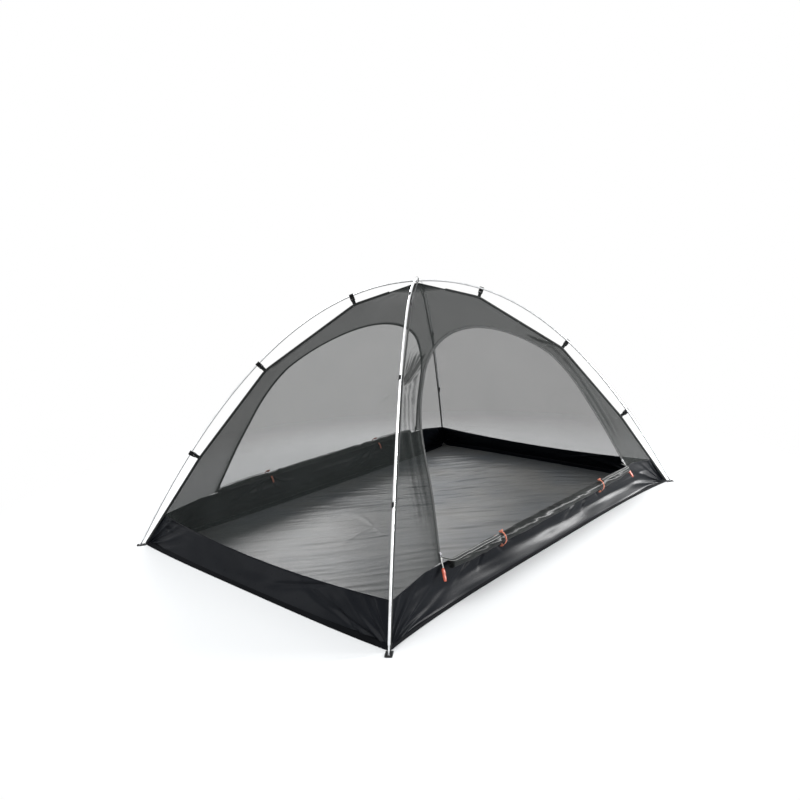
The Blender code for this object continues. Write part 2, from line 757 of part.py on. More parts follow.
def make_corner_strap(name, side_x, side_y):
    inner = RIDGE[0].x - CORNER_TRIM + SEAM_GAP
    outer = HALF_DIAGONAL + STRAP_TAIL
    half = STRAP_WIDTH / 2
    webbing = [(inner, -half), (outer, -half), (outer, half), (inner, half)]
    base = corner_frame(side_x, side_y)
    lift = Matrix.Translation((0, 0, STRAP_LIFT + STRAP_THICKNESS / 2))
    strap = plate(f"corner_strap_{name}", [webbing], STRAP_THICKNESS / 2, WEBBING, base @ lift)
    eyelet_half = STRAP_LIFT + STRAP_THICKNESS / 2
    foot = Matrix.Translation((HALF_DIAGONAL, 0, eyelet_half))
    ring = arc((0, 0), EYELET_RADIUS, 0, 2 * math.pi * 15 / 16, 15)
    hole = arc((0, 0), EYELET_HOLE_RADIUS, 0, 2 * math.pi * 15 / 16, 15)
    boolean(strap, plate(f"eyelet_{name}", [ring], eyelet_half, matrix=base @ foot), "UNION")
    boolean(strap, plate(f"eyelet_hole_{name}", [hole], OVERRUN, matrix=base @ foot), "DIFFERENCE")


def make_apex_tie():
    # A cord loop in the YZ plane, round the crossing of the poles and down to the patch.
    crossing = POLE_RADIUS / math.cos(math.atan2(HALF_WIDTH, HALF_LENGTH))
    lean = TIE_CORD_RADIUS * HALF_WIDTH / HALF_LENGTH
    half = crossing + lean + TIE_CLEARANCE + TIE_CORD_RADIUS
    top = CROSSING_HEIGHT + POLE_SPACING / 2 + POLE_RADIUS + TIE_CLEARANCE + TIE_CORD_RADIUS
    bottom = RIDGE[-1].y + NET_THICKNESS / 2 + SEAM_GAP + TIE_CORD_RADIUS
    line = arc((0, top - half), half, 0, math.pi, 8)
    line += arc((0, bottom + half), half, math.pi, 2 * math.pi, 8)
    line = [(0, y, z) for y, z in line]
    curve_to_mesh(
        tube("apex_tie", line, [TIE_CORD_RADIUS] * len(line), WEBBING, resolution=1, closed=True)
    )


# Zip sliders and pulls

def zip_frame(side_x, side_y):
    # Origin on the zip's line where the slider rests, X up the zip, Y away from the doorway,
    # Z out of the wall.
    start, end = DOOR_PATH[0], DOOR_PATH[1]
    low = wall_point(side_x * start[0], start[1], side_y)
    high = wall_point(side_x * end[0], end[1], side_y)
    along = (high - low).normalized()
    up = Vector((0, side_y * (PROFILE[1, 1] - PROFILE[0, 1]), PROFILE[1, 2] - PROFILE[0, 2]))
    up.normalize()
    normal = Vector((0, side_y * up.z, -side_y * up.y))
    away = Vector((side_x, 0, 0)) - along * along.x * side_x
    away.normalize()
    rise = (SLIDER_REST - start[1]) / (end[1] - start[1])
    return along, away, normal, low + (high - low) * rise


TAPE_CLEAR = ZIP_TAPE_THICKNESS / 2 + RUN_CLEARANCE
PLATE_TOP = TAPE_CLEAR + SLIDER_PLATE
PULL_HEIGHT = PLATE_TOP + BRIDGE_CLEAR_HEIGHT / 2
PULL_DROP = BRIDGE_LENGTH / 2 - BRIDGE_BAR - PULL_WIRE_RADIUS - RUN_CLEARANCE


def make_slider(name, side_x, side_y):
    along, away, normal, origin = zip_frame(side_x, side_y)
    inner = -(ZIP_TAPE_WIDTH / 2 + RUN_CLEARANCE)
    back = inner - SLIDER_PLATE
    channel = [
        (SLIDER_LIP, PLATE_TOP),
        (back, PLATE_TOP),
        (back, -PLATE_TOP),
        (SLIDER_LIP, -PLATE_TOP),
        (SLIDER_LIP, -TAPE_CLEAR),
        (inner, -TAPE_CLEAR),
        (inner, TAPE_CLEAR),
        (SLIDER_LIP, TAPE_CLEAR),
    ]
    across = frame_matrix(away, normal, away.cross(normal), origin)
    slider = plate(name, [channel], SLIDER_LENGTH / 2, SLIDER_METAL, across)
    half, bar = BRIDGE_LENGTH / 2, BRIDGE_BAR
    low, high = PLATE_TOP - SLIDER_PLATE * 3 / 4, PLATE_TOP + BRIDGE_CLEAR_HEIGHT
    foot, shoulder = PLATE_TOP - SLIDER_PLATE / 4, high - bar / 2
    bridge = [(-half, low), (half, low), (half, shoulder)]
    bridge += [(half - bar, high + bar), (bar - half, high + bar), (-half, shoulder)]
    window = [(bar - half, foot), (half - bar, foot), (half - bar, high), (bar - half, high)]
    centre = origin + away * (inner / 2)
    matrix = frame_matrix(along, normal, along.cross(normal), centre)
    arch = plate(f"{name}_bridge", [bridge, window], BRIDGE_WIDTH / 2, matrix=matrix)
    boolean(slider, arch, "UNION")


def pull_frame(side_x, side_y):
    # Origin on the pull's crossbar, X down the pull, Z out of the wall. Y is the hinge's axis.
    along, away, normal, origin = zip_frame(side_x, side_y)
    inner = -(ZIP_TAPE_WIDTH / 2 + RUN_CLEARANCE)
    pivot = origin + away * (inner / 2) + normal * PULL_HEIGHT - along * PULL_DROP
    down = -along * math.cos(PULL_REST_TILT) + normal * math.sin(PULL_REST_TILT)
    lifted = normal * math.cos(PULL_REST_TILT) + along * math.sin(PULL_REST_TILT)
    return frame_matrix(down, lifted.cross(down), lifted, pivot)


def make_pull(name, side_x, side_y):
    matrix = pull_frame(side_x, side_y)
    half, length = PULL_LOOP_HALF_WIDTH, PULL_LOOP_LENGTH
    loop = [
        (0, -half, 0),
        (0, half, 0),
        (length / 2, half, 0),
        (length, half / 3, 0),
        (length, -half / 3, 0),
        (length / 2, -half, 0),
    ]
    wire = [PULL_WIRE_RADIUS] * len(loop)
    wire = curve_to_mesh(tube(f"{name}_loop", loop, wire, closed=True, matrix=matrix))
    cord_end = length + PULL_CORD_LENGTH
    tab_end = cord_end + PULL_TAB_LENGTH
    marks = [
        length - PULL_WIRE_RADIUS,
        cord_end,
        cord_end + PULL_CORD_RADIUS,
        cord_end + PULL_TAB_LENGTH / 3,
        cord_end + 2 * PULL_TAB_LENGTH / 3,
        tab_end - PULL_TAB_RADIUS,
        tab_end,
    ]
    radii = [PULL_CORD_RADIUS] * 2 + [PULL_TAB_RADIUS * share for share in PULL_TAB_SHARES]
    pull = tube(name, [(mark, 0, 0) for mark in marks], radii, PULL_ORANGE, matrix=matrix)
    boolean(curve_to_mesh(pull), wire, "UNION")


# Rolled doors and their ties

SILL_OUT = SILL.x / HALF_DIAGONAL * HALF_WIDTH
FLAP_STANDOFF = FLAP_THICKNESS / 2 + FLAP_CLEARANCE


def roll_axes():
    # Out of the wall and down along it, as (outwards, up), where the wall leans furthest
    # behind the roll.
    foot = GROUND.y - edge_sag(True, ROLL_HALF_LENGTH / HALF_LENGTH)
    down = Vector((foot - SILL_OUT, -SILL_HEIGHT)).normalized()
    return Vector((-down.y, down.x)), down


ROLL_OUTWARD, ROLL_DOWNWARD = roll_axes()


def roll_radius(x):
    marks = np.linspace(-1, 1, len(ROLL_RADIUS_SHARES))
    return ROLL_RADIUS * float(np.interp(x / ROLL_HALF_LENGTH, marks, ROLL_RADIUS_SHARES))


def roll_centre(x):
    # Out from the hinge line and up from it. The roll hangs against the wall.
    away = roll_radius(x) + ROLL_CLEARANCE - FLAP_STANDOFF
    return ROLL_OUTWARD * away + ROLL_DOWNWARD * ROLL_DROP


def hinge_frame(side_y):
    # Origin on the hinge line along the sill, X along the tent, Y out of the tent.
    out = SILL_OUT + WALL_THICKNESS / 2 + FLAP_STANDOFF
    origin = Vector((0, side_y * out, SILL_HEIGHT + FLAP_CLEARANCE))
    return Matrix.Translation(origin) @ Matrix.Diagonal((1, side_y, 1, 1))


def make_door_roll(name, side_y):
    base = hinge_frame(side_y)
    count = len(ROLL_RADIUS_SHARES)
    marks = [ROLL_HALF_LENGTH * (-1 + 2 * i / (count - 1)) for i in range(count)]
    origin = base.translation
    line = [base @ Vector((x, *roll_centre(x))) - origin for x in marks]
    radii = [roll_radius(x) for x in marks]
    place_at = Matrix.Translation(origin)
    roll = tube(name, line, radii, NET, ROLL_SIDE_STEPS, matrix=place_at)
    roll = curve_to_mesh(roll)
    reach = (ROLL_OUTWARD + ROLL_DOWNWARD).normalized() * FLAP_REACH
    half = Vector((-reach.y, reach.x)).normalized() * (FLAP_THICKNESS / 2)
    section = [-half, half, reach + half, reach - half]
    section = [(side_y * point.x, point.y) for point in section]
    turn = frame_matrix(Vector((0, 1, 0)), Vector((0, 0, 1)), Vector((1, 0, 0)), origin)
    boolean(roll, plate(f"{name}_flap", [section], FLAP_HALF_LENGTH, matrix=turn), "UNION")


def tie_ring(x):
    return roll_radius(x) + DOOR_TIE_CLEARANCE + DOOR_TIE_RADIUS


def tie_point(x, angle):
    # On the tie's arc round the roll: angle 0 points down along the wall, and a quarter turn
    # points out of it.
    ring = ROLL_DOWNWARD * math.cos(angle) + ROLL_OUTWARD * math.sin(angle)
    return Vector((x, *(roll_centre(x) + ring * tie_ring(x))))


def make_door_tie(name, side_x, side_y):
    x = side_x * DOOR_TIE_OFFSET
    base = hinge_frame(side_y)
    origin = base @ tie_point(x, 0)
    angles = [DOOR_TIE_SWEEP * i / DOOR_TIE_STEPS for i in range(DOOR_TIE_STEPS + 1)]
    line = [base @ tie_point(x, angle) - origin for angle in angles]
    matrix = Matrix.Translation(origin)
    tie = tube(name, line, [DOOR_TIE_RADIUS] * len(line), TIE_ORANGE, resolution=1, matrix=matrix)
    tie = curve_to_mesh(tie)
    end = tie_point(x, angles[-1])
    lift = DOOR_TIE_RADIUS + TOGGLE_RADIUS / 2
    radial = (end - Vector((x, *roll_centre(x)))).normalized()
    middle = base @ (end + radial * lift) - origin
    half = Vector((TOGGLE_LENGTH / 2, 0, 0))
    toggle = tube(f"{name}_toggle", [middle - half, middle + half], [TOGGLE_RADIUS] * 2, matrix=matrix)
    boolean(tie, curve_to_mesh(toggle), "UNION")


def main():
    make_floor()
    for name, side_x, side_y in (("front", 0, -1), ("back", 0, 1), ("left", -1, 0), ("right", 1, 0)):
        make_bathtub_wall(f"bathtub_wall_{name}", side_x, side_y)
        make_net_panel(f"net_panel_{name}", side_x, side_y)
    make_apex_patch()
    make_apex_tie()
    for name, line, direction in POLES:
        make_pole(name, line, direction)
    for name, side_x, side_y in CORNERS:
        make_ridge_binding(name, side_x, side_y)
        make_corner_strap(name, side_x, side_y)
        make_slider(f"zip_slider_{name}", side_x, side_y)
        make_pull(f"zip_pull_{name}", side_x, side_y)
        make_door_tie(f"door_tie_{name}", side_x, side_y)
    for name, side_y in (("front", -1), ("back", 1)):
        make_zip_track(f"zip_track_{name}", side_y)
        make_door_roll(f"door_roll_{name}", side_y)


main()
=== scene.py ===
# Mosquito net tent: the finished look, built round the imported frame.
# Metres, +Z up. X runs along the tent, and the front door faces -Y.

import json
import math

import bmesh
import bpy
import numpy as np
from mathutils import Matrix, Vector


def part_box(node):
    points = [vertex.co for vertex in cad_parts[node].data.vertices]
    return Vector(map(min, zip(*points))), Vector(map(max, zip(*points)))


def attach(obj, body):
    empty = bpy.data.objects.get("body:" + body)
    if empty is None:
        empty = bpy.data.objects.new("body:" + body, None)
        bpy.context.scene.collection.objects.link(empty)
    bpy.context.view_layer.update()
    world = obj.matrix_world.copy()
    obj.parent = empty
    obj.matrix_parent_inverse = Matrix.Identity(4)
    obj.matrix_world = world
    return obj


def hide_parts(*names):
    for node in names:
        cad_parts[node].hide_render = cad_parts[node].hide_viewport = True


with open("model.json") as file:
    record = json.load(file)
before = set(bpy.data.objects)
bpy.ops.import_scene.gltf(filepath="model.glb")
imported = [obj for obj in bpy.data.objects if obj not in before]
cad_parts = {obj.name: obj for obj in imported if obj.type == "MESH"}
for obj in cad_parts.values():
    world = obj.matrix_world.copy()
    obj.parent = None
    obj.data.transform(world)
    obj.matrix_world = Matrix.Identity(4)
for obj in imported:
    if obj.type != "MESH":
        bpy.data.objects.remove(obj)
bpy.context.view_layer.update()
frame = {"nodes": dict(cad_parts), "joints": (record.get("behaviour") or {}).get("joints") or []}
joints = {joint["child"]: joint for joint in frame["joints"]}
print("frame loaded")

# Driving sizes, the same as the frame's
tent = {
    "halfLength": 1.05, "halfWidth": 0.735, "crossing": 1.075, "curvePower": 2.1,
    "footRise": 0.0026, "sections": 5, "spans": 8, "ferrule": 0.060,
    "poleRadius": 0.00425, "poleGap": 0.0003, "tipRadius": 0.0026, "tipLength": 0.026,
    "cornerShare": 0.984, "clipShares": (0.80, 0.55, 0.22), "clipReach": 0.045,
    "apexDrop": 0.015, "patchShare": 0.10,
    "sillHeight": 0.152, "cornerHeight": 0.125, "endDip": 0.026,
    "sideSag": 0.036, "endBulge": 0.014, "columns": 12,
    "doorSideMargin": 0.350, "doorTopMargin": 0.335, "doorLean": 0.100,
    "zipStart": 0.004, "zipWidth": 0.012,
}
halfDiagonal = math.hypot(tent["halfLength"], tent["halfWidth"])
corners = {
    "front_left": (-1, -1), "front_right": (1, -1),
    "back_left": (-1, 1), "back_right": (1, 1),
}
sides = {"front": (0, -1), "back": (0, 1), "left": (-1, 0), "right": (1, 0)}


# Camera, lights and floor

cameraLook = {
    "place": (-2.5305, -2.184, 1.197), "azimuth": 47.5, "elevation": 11.2, "roll": -2.53,
    "focal": 746.0, "frameWidth": 800, "sensor": 36.0,
}


def makeCamera(look):
    azimuth, elevation = math.radians(look["azimuth"]), math.radians(look["elevation"])
    forward = Vector((
        math.sin(azimuth) * math.cos(elevation),
        math.cos(azimuth) * math.cos(elevation),
        -math.sin(elevation),
    ))
    right = forward.cross(Vector((0, 0, 1))).normalized()
    up = right.cross(forward)
    turn = math.radians(look["roll"])
    across = right * math.cos(turn) + up * math.sin(turn)
    over = up * math.cos(turn) - right * math.sin(turn)
    data = bpy.data.cameras.new("photoCamera")
    data.sensor_width = look["sensor"]
    data.lens = look["focal"] / look["frameWidth"] * look["sensor"]
    camera = bpy.data.objects.new("photoCamera", data)
    camera.matrix_world = Matrix.Translation(look["place"]) @ Matrix(
        (across, over, -forward)).transposed().to_4x4()
    bpy.context.scene.collection.objects.link(camera)
    bpy.context.scene.camera = camera


lightLook = {
    "horizonStrength": 0.34, "zenithStrength": 1.05, "skyColour": (0.95, 0.98, 1.0),
    "lamps": {
        "backPanel": {"place": (3.9, 3.2, 2.2), "power": 42.0, "size": 1.5},
        "farPanel": {"place": (2.2, 3.9, 2.0), "power": 98.0, "size": 1.5},
        "frontPanel": {"place": (4.3, -3.3, 1.05), "power": 225.0, "size": 0.85},
        "cornerPanel": {"place": (3.0, -3.9, 1.35), "power": 110.0, "size": 0.8},
        "topPanel": {"place": (-1.5, 0.5, 3.8), "power": 60.0, "size": 2.4},
        "leftPanel": {"place": (-3.6, 2.6, 1.6), "power": 8.0, "size": 0.9},
    },
    "floorColour": 0.86, "floorRoughness": 0.95, "floorSpecular": 0.1, "floorSize": 30.0,
    "fadeStart": 1.25, "fadeEnd": 2.2,
}


def makeAreaLight(name, place, power, size):
    data = bpy.data.lights.new(name, "AREA")
    data.energy = power
    data.size = size
    light = bpy.data.objects.new(name, data)
    light.location = place
    light.rotation_euler = (-Vector(place)).to_track_quat("-Z", "Y").to_euler()
    bpy.context.scene.collection.objects.link(light)


def seenRays(tree):
    # 1 where the camera looks straight, through glass or in a reflection
    path = addNode(tree, "ShaderNodeLightPath").outputs
    seen = addMath(tree, "MAXIMUM", path["Is Camera Ray"], path["Is Glossy Ray"])
    return addMath(tree, "MAXIMUM", seen, path["Is Transmission Ray"])


def makeStage(look):
    world = bpy.data.worlds.new("softDaylight")
    bpy.context.scene.world = world
    world.use_nodes = True
    tree = world.node_tree
    tree.nodes.clear()
    direction = addNode(tree, "ShaderNodeTexCoord")
    split = addNode(tree, "ShaderNodeSeparateXYZ", {0: direction.outputs["Generated"]})
    climb = addMath(tree, "MAXIMUM", split.outputs[2], 0)
    strength = spread(tree, climb, look["horizonStrength"], look["zenithStrength"])
    sky = addNode(tree, "ShaderNodeBackground", {"Color": (*look["skyColour"], 1), "Strength": strength})
    white = addNode(tree, "ShaderNodeBackground", {"Color": (1, 1, 1, 1)})
    mix = addNode(tree, "ShaderNodeMixShader", {
        0: seenRays(tree), 1: sky.outputs[0], 2: white.outputs[0]})
    addNode(tree, "ShaderNodeOutputWorld", {"Surface": mix.outputs[0]})
    for name, lamp in look["lamps"].items():
        makeAreaLight(name, **lamp)
    makeStageFloor(look)


def makeStageFloor(look):
    # A pale floor that fades into the white round it
    material = bpy.data.materials.new("paleFloor")
    material.use_nodes = True
    tree = material.node_tree
    tone = look["floorColour"]
    shader = fill(tree, tree.nodes["Principled BSDF"], {
        "Base Color": (tone, tone, tone, 1), "Roughness": look["floorRoughness"],
        "Specular IOR Level": look["floorSpecular"]})
    glow = addNode(tree, "ShaderNodeEmission", {"Color": (1, 1, 1, 1)})
    place = addNode(tree, "ShaderNodeTexCoord")
    length = addNode(tree, "ShaderNodeVectorMath", {0: place.outputs["Object"]})
    length.operation = "LENGTH"
    fade = addNode(tree, "ShaderNodeMapRange", {
        "Value": length.outputs["Value"], "From Min": look["fadeStart"], "From Max": look["fadeEnd"]})
    fade.interpolation_type = "SMOOTHSTEP"
    share = addMath(tree, "MULTIPLY", seenRays(tree), fade.outputs["Result"])
    mix = addNode(tree, "ShaderNodeMixShader", {0: share, 1: shader.outputs[0], 2: glow.outputs[0]})
    fill(tree, tree.nodes["Material Output"], {"Surface": mix.outputs[0]})

    half = look["floorSize"] / 2
    points = [(-half, -half, 0), (half, -half, 0), (half, half, 0), (-half, half, 0)]
    mesh = bpy.data.meshes.new("stageFloor")
    mesh.from_pydata(points, [], [(0, 1, 2, 3)])
    mesh.materials.append(material)
    floor = bpy.data.objects.new("stageFloor", mesh)
    bpy.context.scene.collection.objects.link(floor)


# Shader building

def fill(tree, node, inputs):
    # Values, or other nodes' outputs, into a node's named or numbered sockets
    for label, value in inputs.items():
        if isinstance(value, bpy.types.NodeSocket):
            tree.links.new(value, node.inputs[label])
        else:
            node.inputs[label].default_value = value
    return node


def addNode(tree, kind, inputs=None):
    return fill(tree, tree.nodes.new(kind), inputs or {})


def addMath(tree, operation, *values):
    node = tree.nodes.new("ShaderNodeMath")
    node.operation = operation
    return fill(tree, node, dict(enumerate(values))).outputs[0]


def newGroup(name, inputs, outputs):
    group = bpy.data.node_groups.new(name, "ShaderNodeTree")
    for label, value in inputs.items():
        kind = "NodeSocketVector" if value is None else "NodeSocketFloat"
        socket = group.interface.new_socket(label, in_out="INPUT", socket_type=kind)
        if value is not None:
            socket.default_value = value
    for label in outputs:
        group.interface.new_socket(label, in_out="OUTPUT", socket_type="NodeSocketFloat")
    return group, group.nodes.new("NodeGroupInput"), group.nodes.new("NodeGroupOutput")


def waveOf(tree, value, pitch):
    # 0 to 1 and back once in each pitch
    turns = addMath(tree, "DIVIDE", value, pitch)
    angle = addMath(tree, "MULTIPLY", turns, 2 * math.pi)
    return addMath(tree, "MULTIPLY_ADD", addMath(tree, "SINE", angle), 0.5, 0.5)


def makeWeaveGroup():
    # Over-and-under threads on a pair of coordinates in metres
    group, given, result = newGroup("threadWeave", {"Vector": None, "Pitch": 0.001}, ["Height"])
    split = addNode(group, "ShaderNodeSeparateXYZ", {0: given.outputs["Vector"]})
    first = waveOf(group, split.outputs[0], given.outputs["Pitch"])
    second = waveOf(group, split.outputs[1], given.outputs["Pitch"])
    product = addMath(group, "MULTIPLY", first, second)
    crossed = addMath(group, "MULTIPLY", addMath(group, "SUBTRACT", 1, first),
                      addMath(group, "SUBTRACT", 1, second))
    fill(group, result, {"Height": addMath(group, "ADD", product, crossed)})
    return group


netHoles = {"pitch": 0.0016, "slant": 0.6, "threadStart": 0.45, "threadFull": 0.95}


def makeNetGroup():
    # How much of a knitted net's hole is covered by thread, from 0 to 1
    group, given, result = newGroup("netHoles", {"Vector": None, "Pitch": netHoles["pitch"]}, ["Cover"])
    split = addNode(group, "ShaderNodeSeparateXYZ", {0: given.outputs["Vector"]})
    climb = addMath(group, "MULTIPLY", split.outputs[1], netHoles["slant"])
    threads = []
    for lean in ("ADD", "SUBTRACT"):
        slanted = addMath(group, lean, split.outputs[0], climb)
        threads.append(waveOf(group, slanted, given.outputs["Pitch"]))
    fade = addNode(group, "ShaderNodeMapRange", {
        "Value": addMath(group, "MAXIMUM", *threads),
        "From Min": netHoles["threadStart"], "From Max": netHoles["threadFull"]})
    fill(group, result, {"Cover": fade.outputs["Result"]})
    return group


unevenTone = {"Tone": {"size": "Broad", "scale": 3.0, "detail": 3},
              "Dust": {"size": "Fine", "scale": 60.0, "detail": 6}}
noiseRoughness = 0.6


def makeBlotchGroup():
    # Broad uneven tone and fine dust
    sizes = {layer["size"]: layer["scale"] for layer in unevenTone.values()}
    group, given, result = newGroup("unevenTone", {"Vector": None, **sizes}, list(unevenTone))
    for label, layer in unevenTone.items():
        noiseNode = addNode(group, "ShaderNodeTexNoise", {
            "Vector": given.outputs["Vector"], "Scale": given.outputs[layer["size"]],
            "Detail": layer["detail"], "Roughness": noiseRoughness})
        fill(group, result, {label: noiseNode.outputs["Fac"]})
    return group


weaveGroup = makeWeaveGroup()
netGroup = makeNetGroup()
blotchGroup = makeBlotchGroup()


def useGroup(tree, group, vector, **values):
    node = tree.nodes.new("ShaderNodeGroup")
    node.node_tree = group
    return fill(tree, node, {"Vector": vector, **values})


def rampBetween(tree, value, look, low=0.35, high=0.65):
    ramp = addNode(tree, "ShaderNodeValToRGB", {0: value})
    for element, place, tone in zip(ramp.color_ramp.elements, (low, high), ("dark", "light")):
        element.position = place
        element.color = (*look[tone], 1)
    return ramp.outputs["Color"]


def spread(tree, value, low, high):
    fade = addNode(tree, "ShaderNodeMapRange", {"Value": value, "To Min": low, "To Max": high})
    return fade.outputs["Result"]


def addBump(tree, shader, height, distance, strength=1.0):
    bump = addNode(tree, "ShaderNodeBump", {
        "Height": height, "Distance": distance, "Strength": strength})
    fill(tree, shader, {"Normal": bump.outputs["Normal"]})


def newMaterial(name, plainSockets):
    material = bpy.data.materials.new(name)
    material.use_nodes = True
    tree = material.node_tree
    shader = fill(tree, tree.nodes["Principled BSDF"], plainSockets)
    return material, tree, shader, addNode(tree, "ShaderNodeTexCoord")


# What a finish has where its own look below doesn't say otherwise
clothDefaults = {"sheen": 0.1, "sheenRoughness": 0.4, "specular": 0.5, "broad": 3.0, "fine": 90.0,
                 "crumple": 0.4}
ribbedDefaults = {"sheen": 0.2, "sheenRoughness": 0.5, "specular": 0.3, "broad": 12.0, "fine": 220.0,
                  "ribTone": 0.25, "toneLow": 0.35, "toneHigh": 0.8, "yarnShare": 0.5}
hardDefaults = {"metallic": 0.0, "specular": 0.5, "broad": 30.0, "fine": 500.0}


def clothSockets(look):
    return {"Sheen Weight": look["sheen"], "Sheen Roughness": look["sheenRoughness"],
            "Specular IOR Level": look["specular"]}


def unevenSurface(tree, shader, place, look):
    # Noise on Object coordinates, with the roughness already taken from its dust
    blotch = useGroup(tree, blotchGroup, place.outputs["Object"], Broad=look["broad"], Fine=look["fine"])
    fill(tree, shader, {"Roughness": spread(tree, blotch.outputs["Dust"], *look["roughness"])})
    return blotch


def clothMaterial(name, look):
    # Woven cloth on the piece's own UV map, which is in metres
    look = {**clothDefaults, **look}
    material, tree, shader, place = newMaterial(name, clothSockets(look))
    weave = useGroup(tree, weaveGroup, place.outputs["UV"], Pitch=look["pitch"])
    blotch = unevenSurface(tree, shader, place, look)
    fill(tree, shader, {"Base Color": rampBetween(tree, blotch.outputs["Tone"], look)})
    height = addMath(tree, "MULTIPLY_ADD", blotch.outputs["Dust"], look["crumple"],
                     weave.outputs["Height"])
    addBump(tree, shader, height, look["depth"])
    return material


def netMaterialOf(name, look):
    # Open net: the threads' pattern and the gathered folds set how much shows through
    material, tree, shader, place = newMaterial(name, {
        "Roughness": look["roughness"], **clothSockets(look)})
    net = useGroup(tree, netGroup, place.outputs["UV"], Pitch=look["pitch"])
    gather = addNode(tree, "ShaderNodeAttribute")
    gather.attribute_name = "gather"
    blotch = useGroup(tree, blotchGroup, place.outputs["Object"], Broad=look["broad"], Fine=look["fine"])
    cover = spread(tree, net.outputs["Cover"], look["open"], look["closed"])
    thick = addMath(tree, "MULTIPLY_ADD", gather.outputs["Fac"], look["gathered"], cover)
    soft = addMath(tree, "MULTIPLY_ADD", blotch.outputs["Tone"], look["uneven"], thick)
    fill(tree, shader, {"Alpha": addMath(tree, "MINIMUM", soft, look["most"]),
                        "Base Color": rampBetween(tree, blotch.outputs["Tone"], look)})
    addBump(tree, shader, net.outputs["Cover"], look["depth"], look["bump"])
    return material


def ribbedMaterial(name, look):
    # Narrow woven tape or elastic: ribs across it, on the UV map in metres
    look = {**ribbedDefaults, **look}
    material, tree, shader, place = newMaterial(name, clothSockets(look))
    split = addNode(tree, "ShaderNodeSeparateXYZ", {0: place.outputs["UV"]})
    ribs = waveOf(tree, split.outputs[0], look["rib"])
    yarn = waveOf(tree, split.outputs[1], look["yarn"])
    blotch = unevenSurface(tree, shader, place, look)
    tone = addMath(tree, "MULTIPLY_ADD", ribs, look["ribTone"], blotch.outputs["Tone"])
    fill(tree, shader, {"Base Color": rampBetween(tree, tone, look, look["toneLow"], look["toneHigh"])})
    addBump(tree, shader, addMath(tree, "MULTIPLY_ADD", yarn, look["yarnShare"], ribs), look["depth"])
    return material


def hardMaterial(name, look):
    # Moulded plastic or metal: faint grain and wear
    look = {**hardDefaults, **look}
    material, tree, shader, place = newMaterial(name, {
        "Metallic": look["metallic"], "Specular IOR Level": look["specular"]})
    blotch = unevenSurface(tree, shader, place, look)
    fill(tree, shader, {"Base Color": rampBetween(tree, blotch.outputs["Tone"], look)})
    addBump(tree, shader, blotch.outputs["Dust"], look["depth"])
    return material


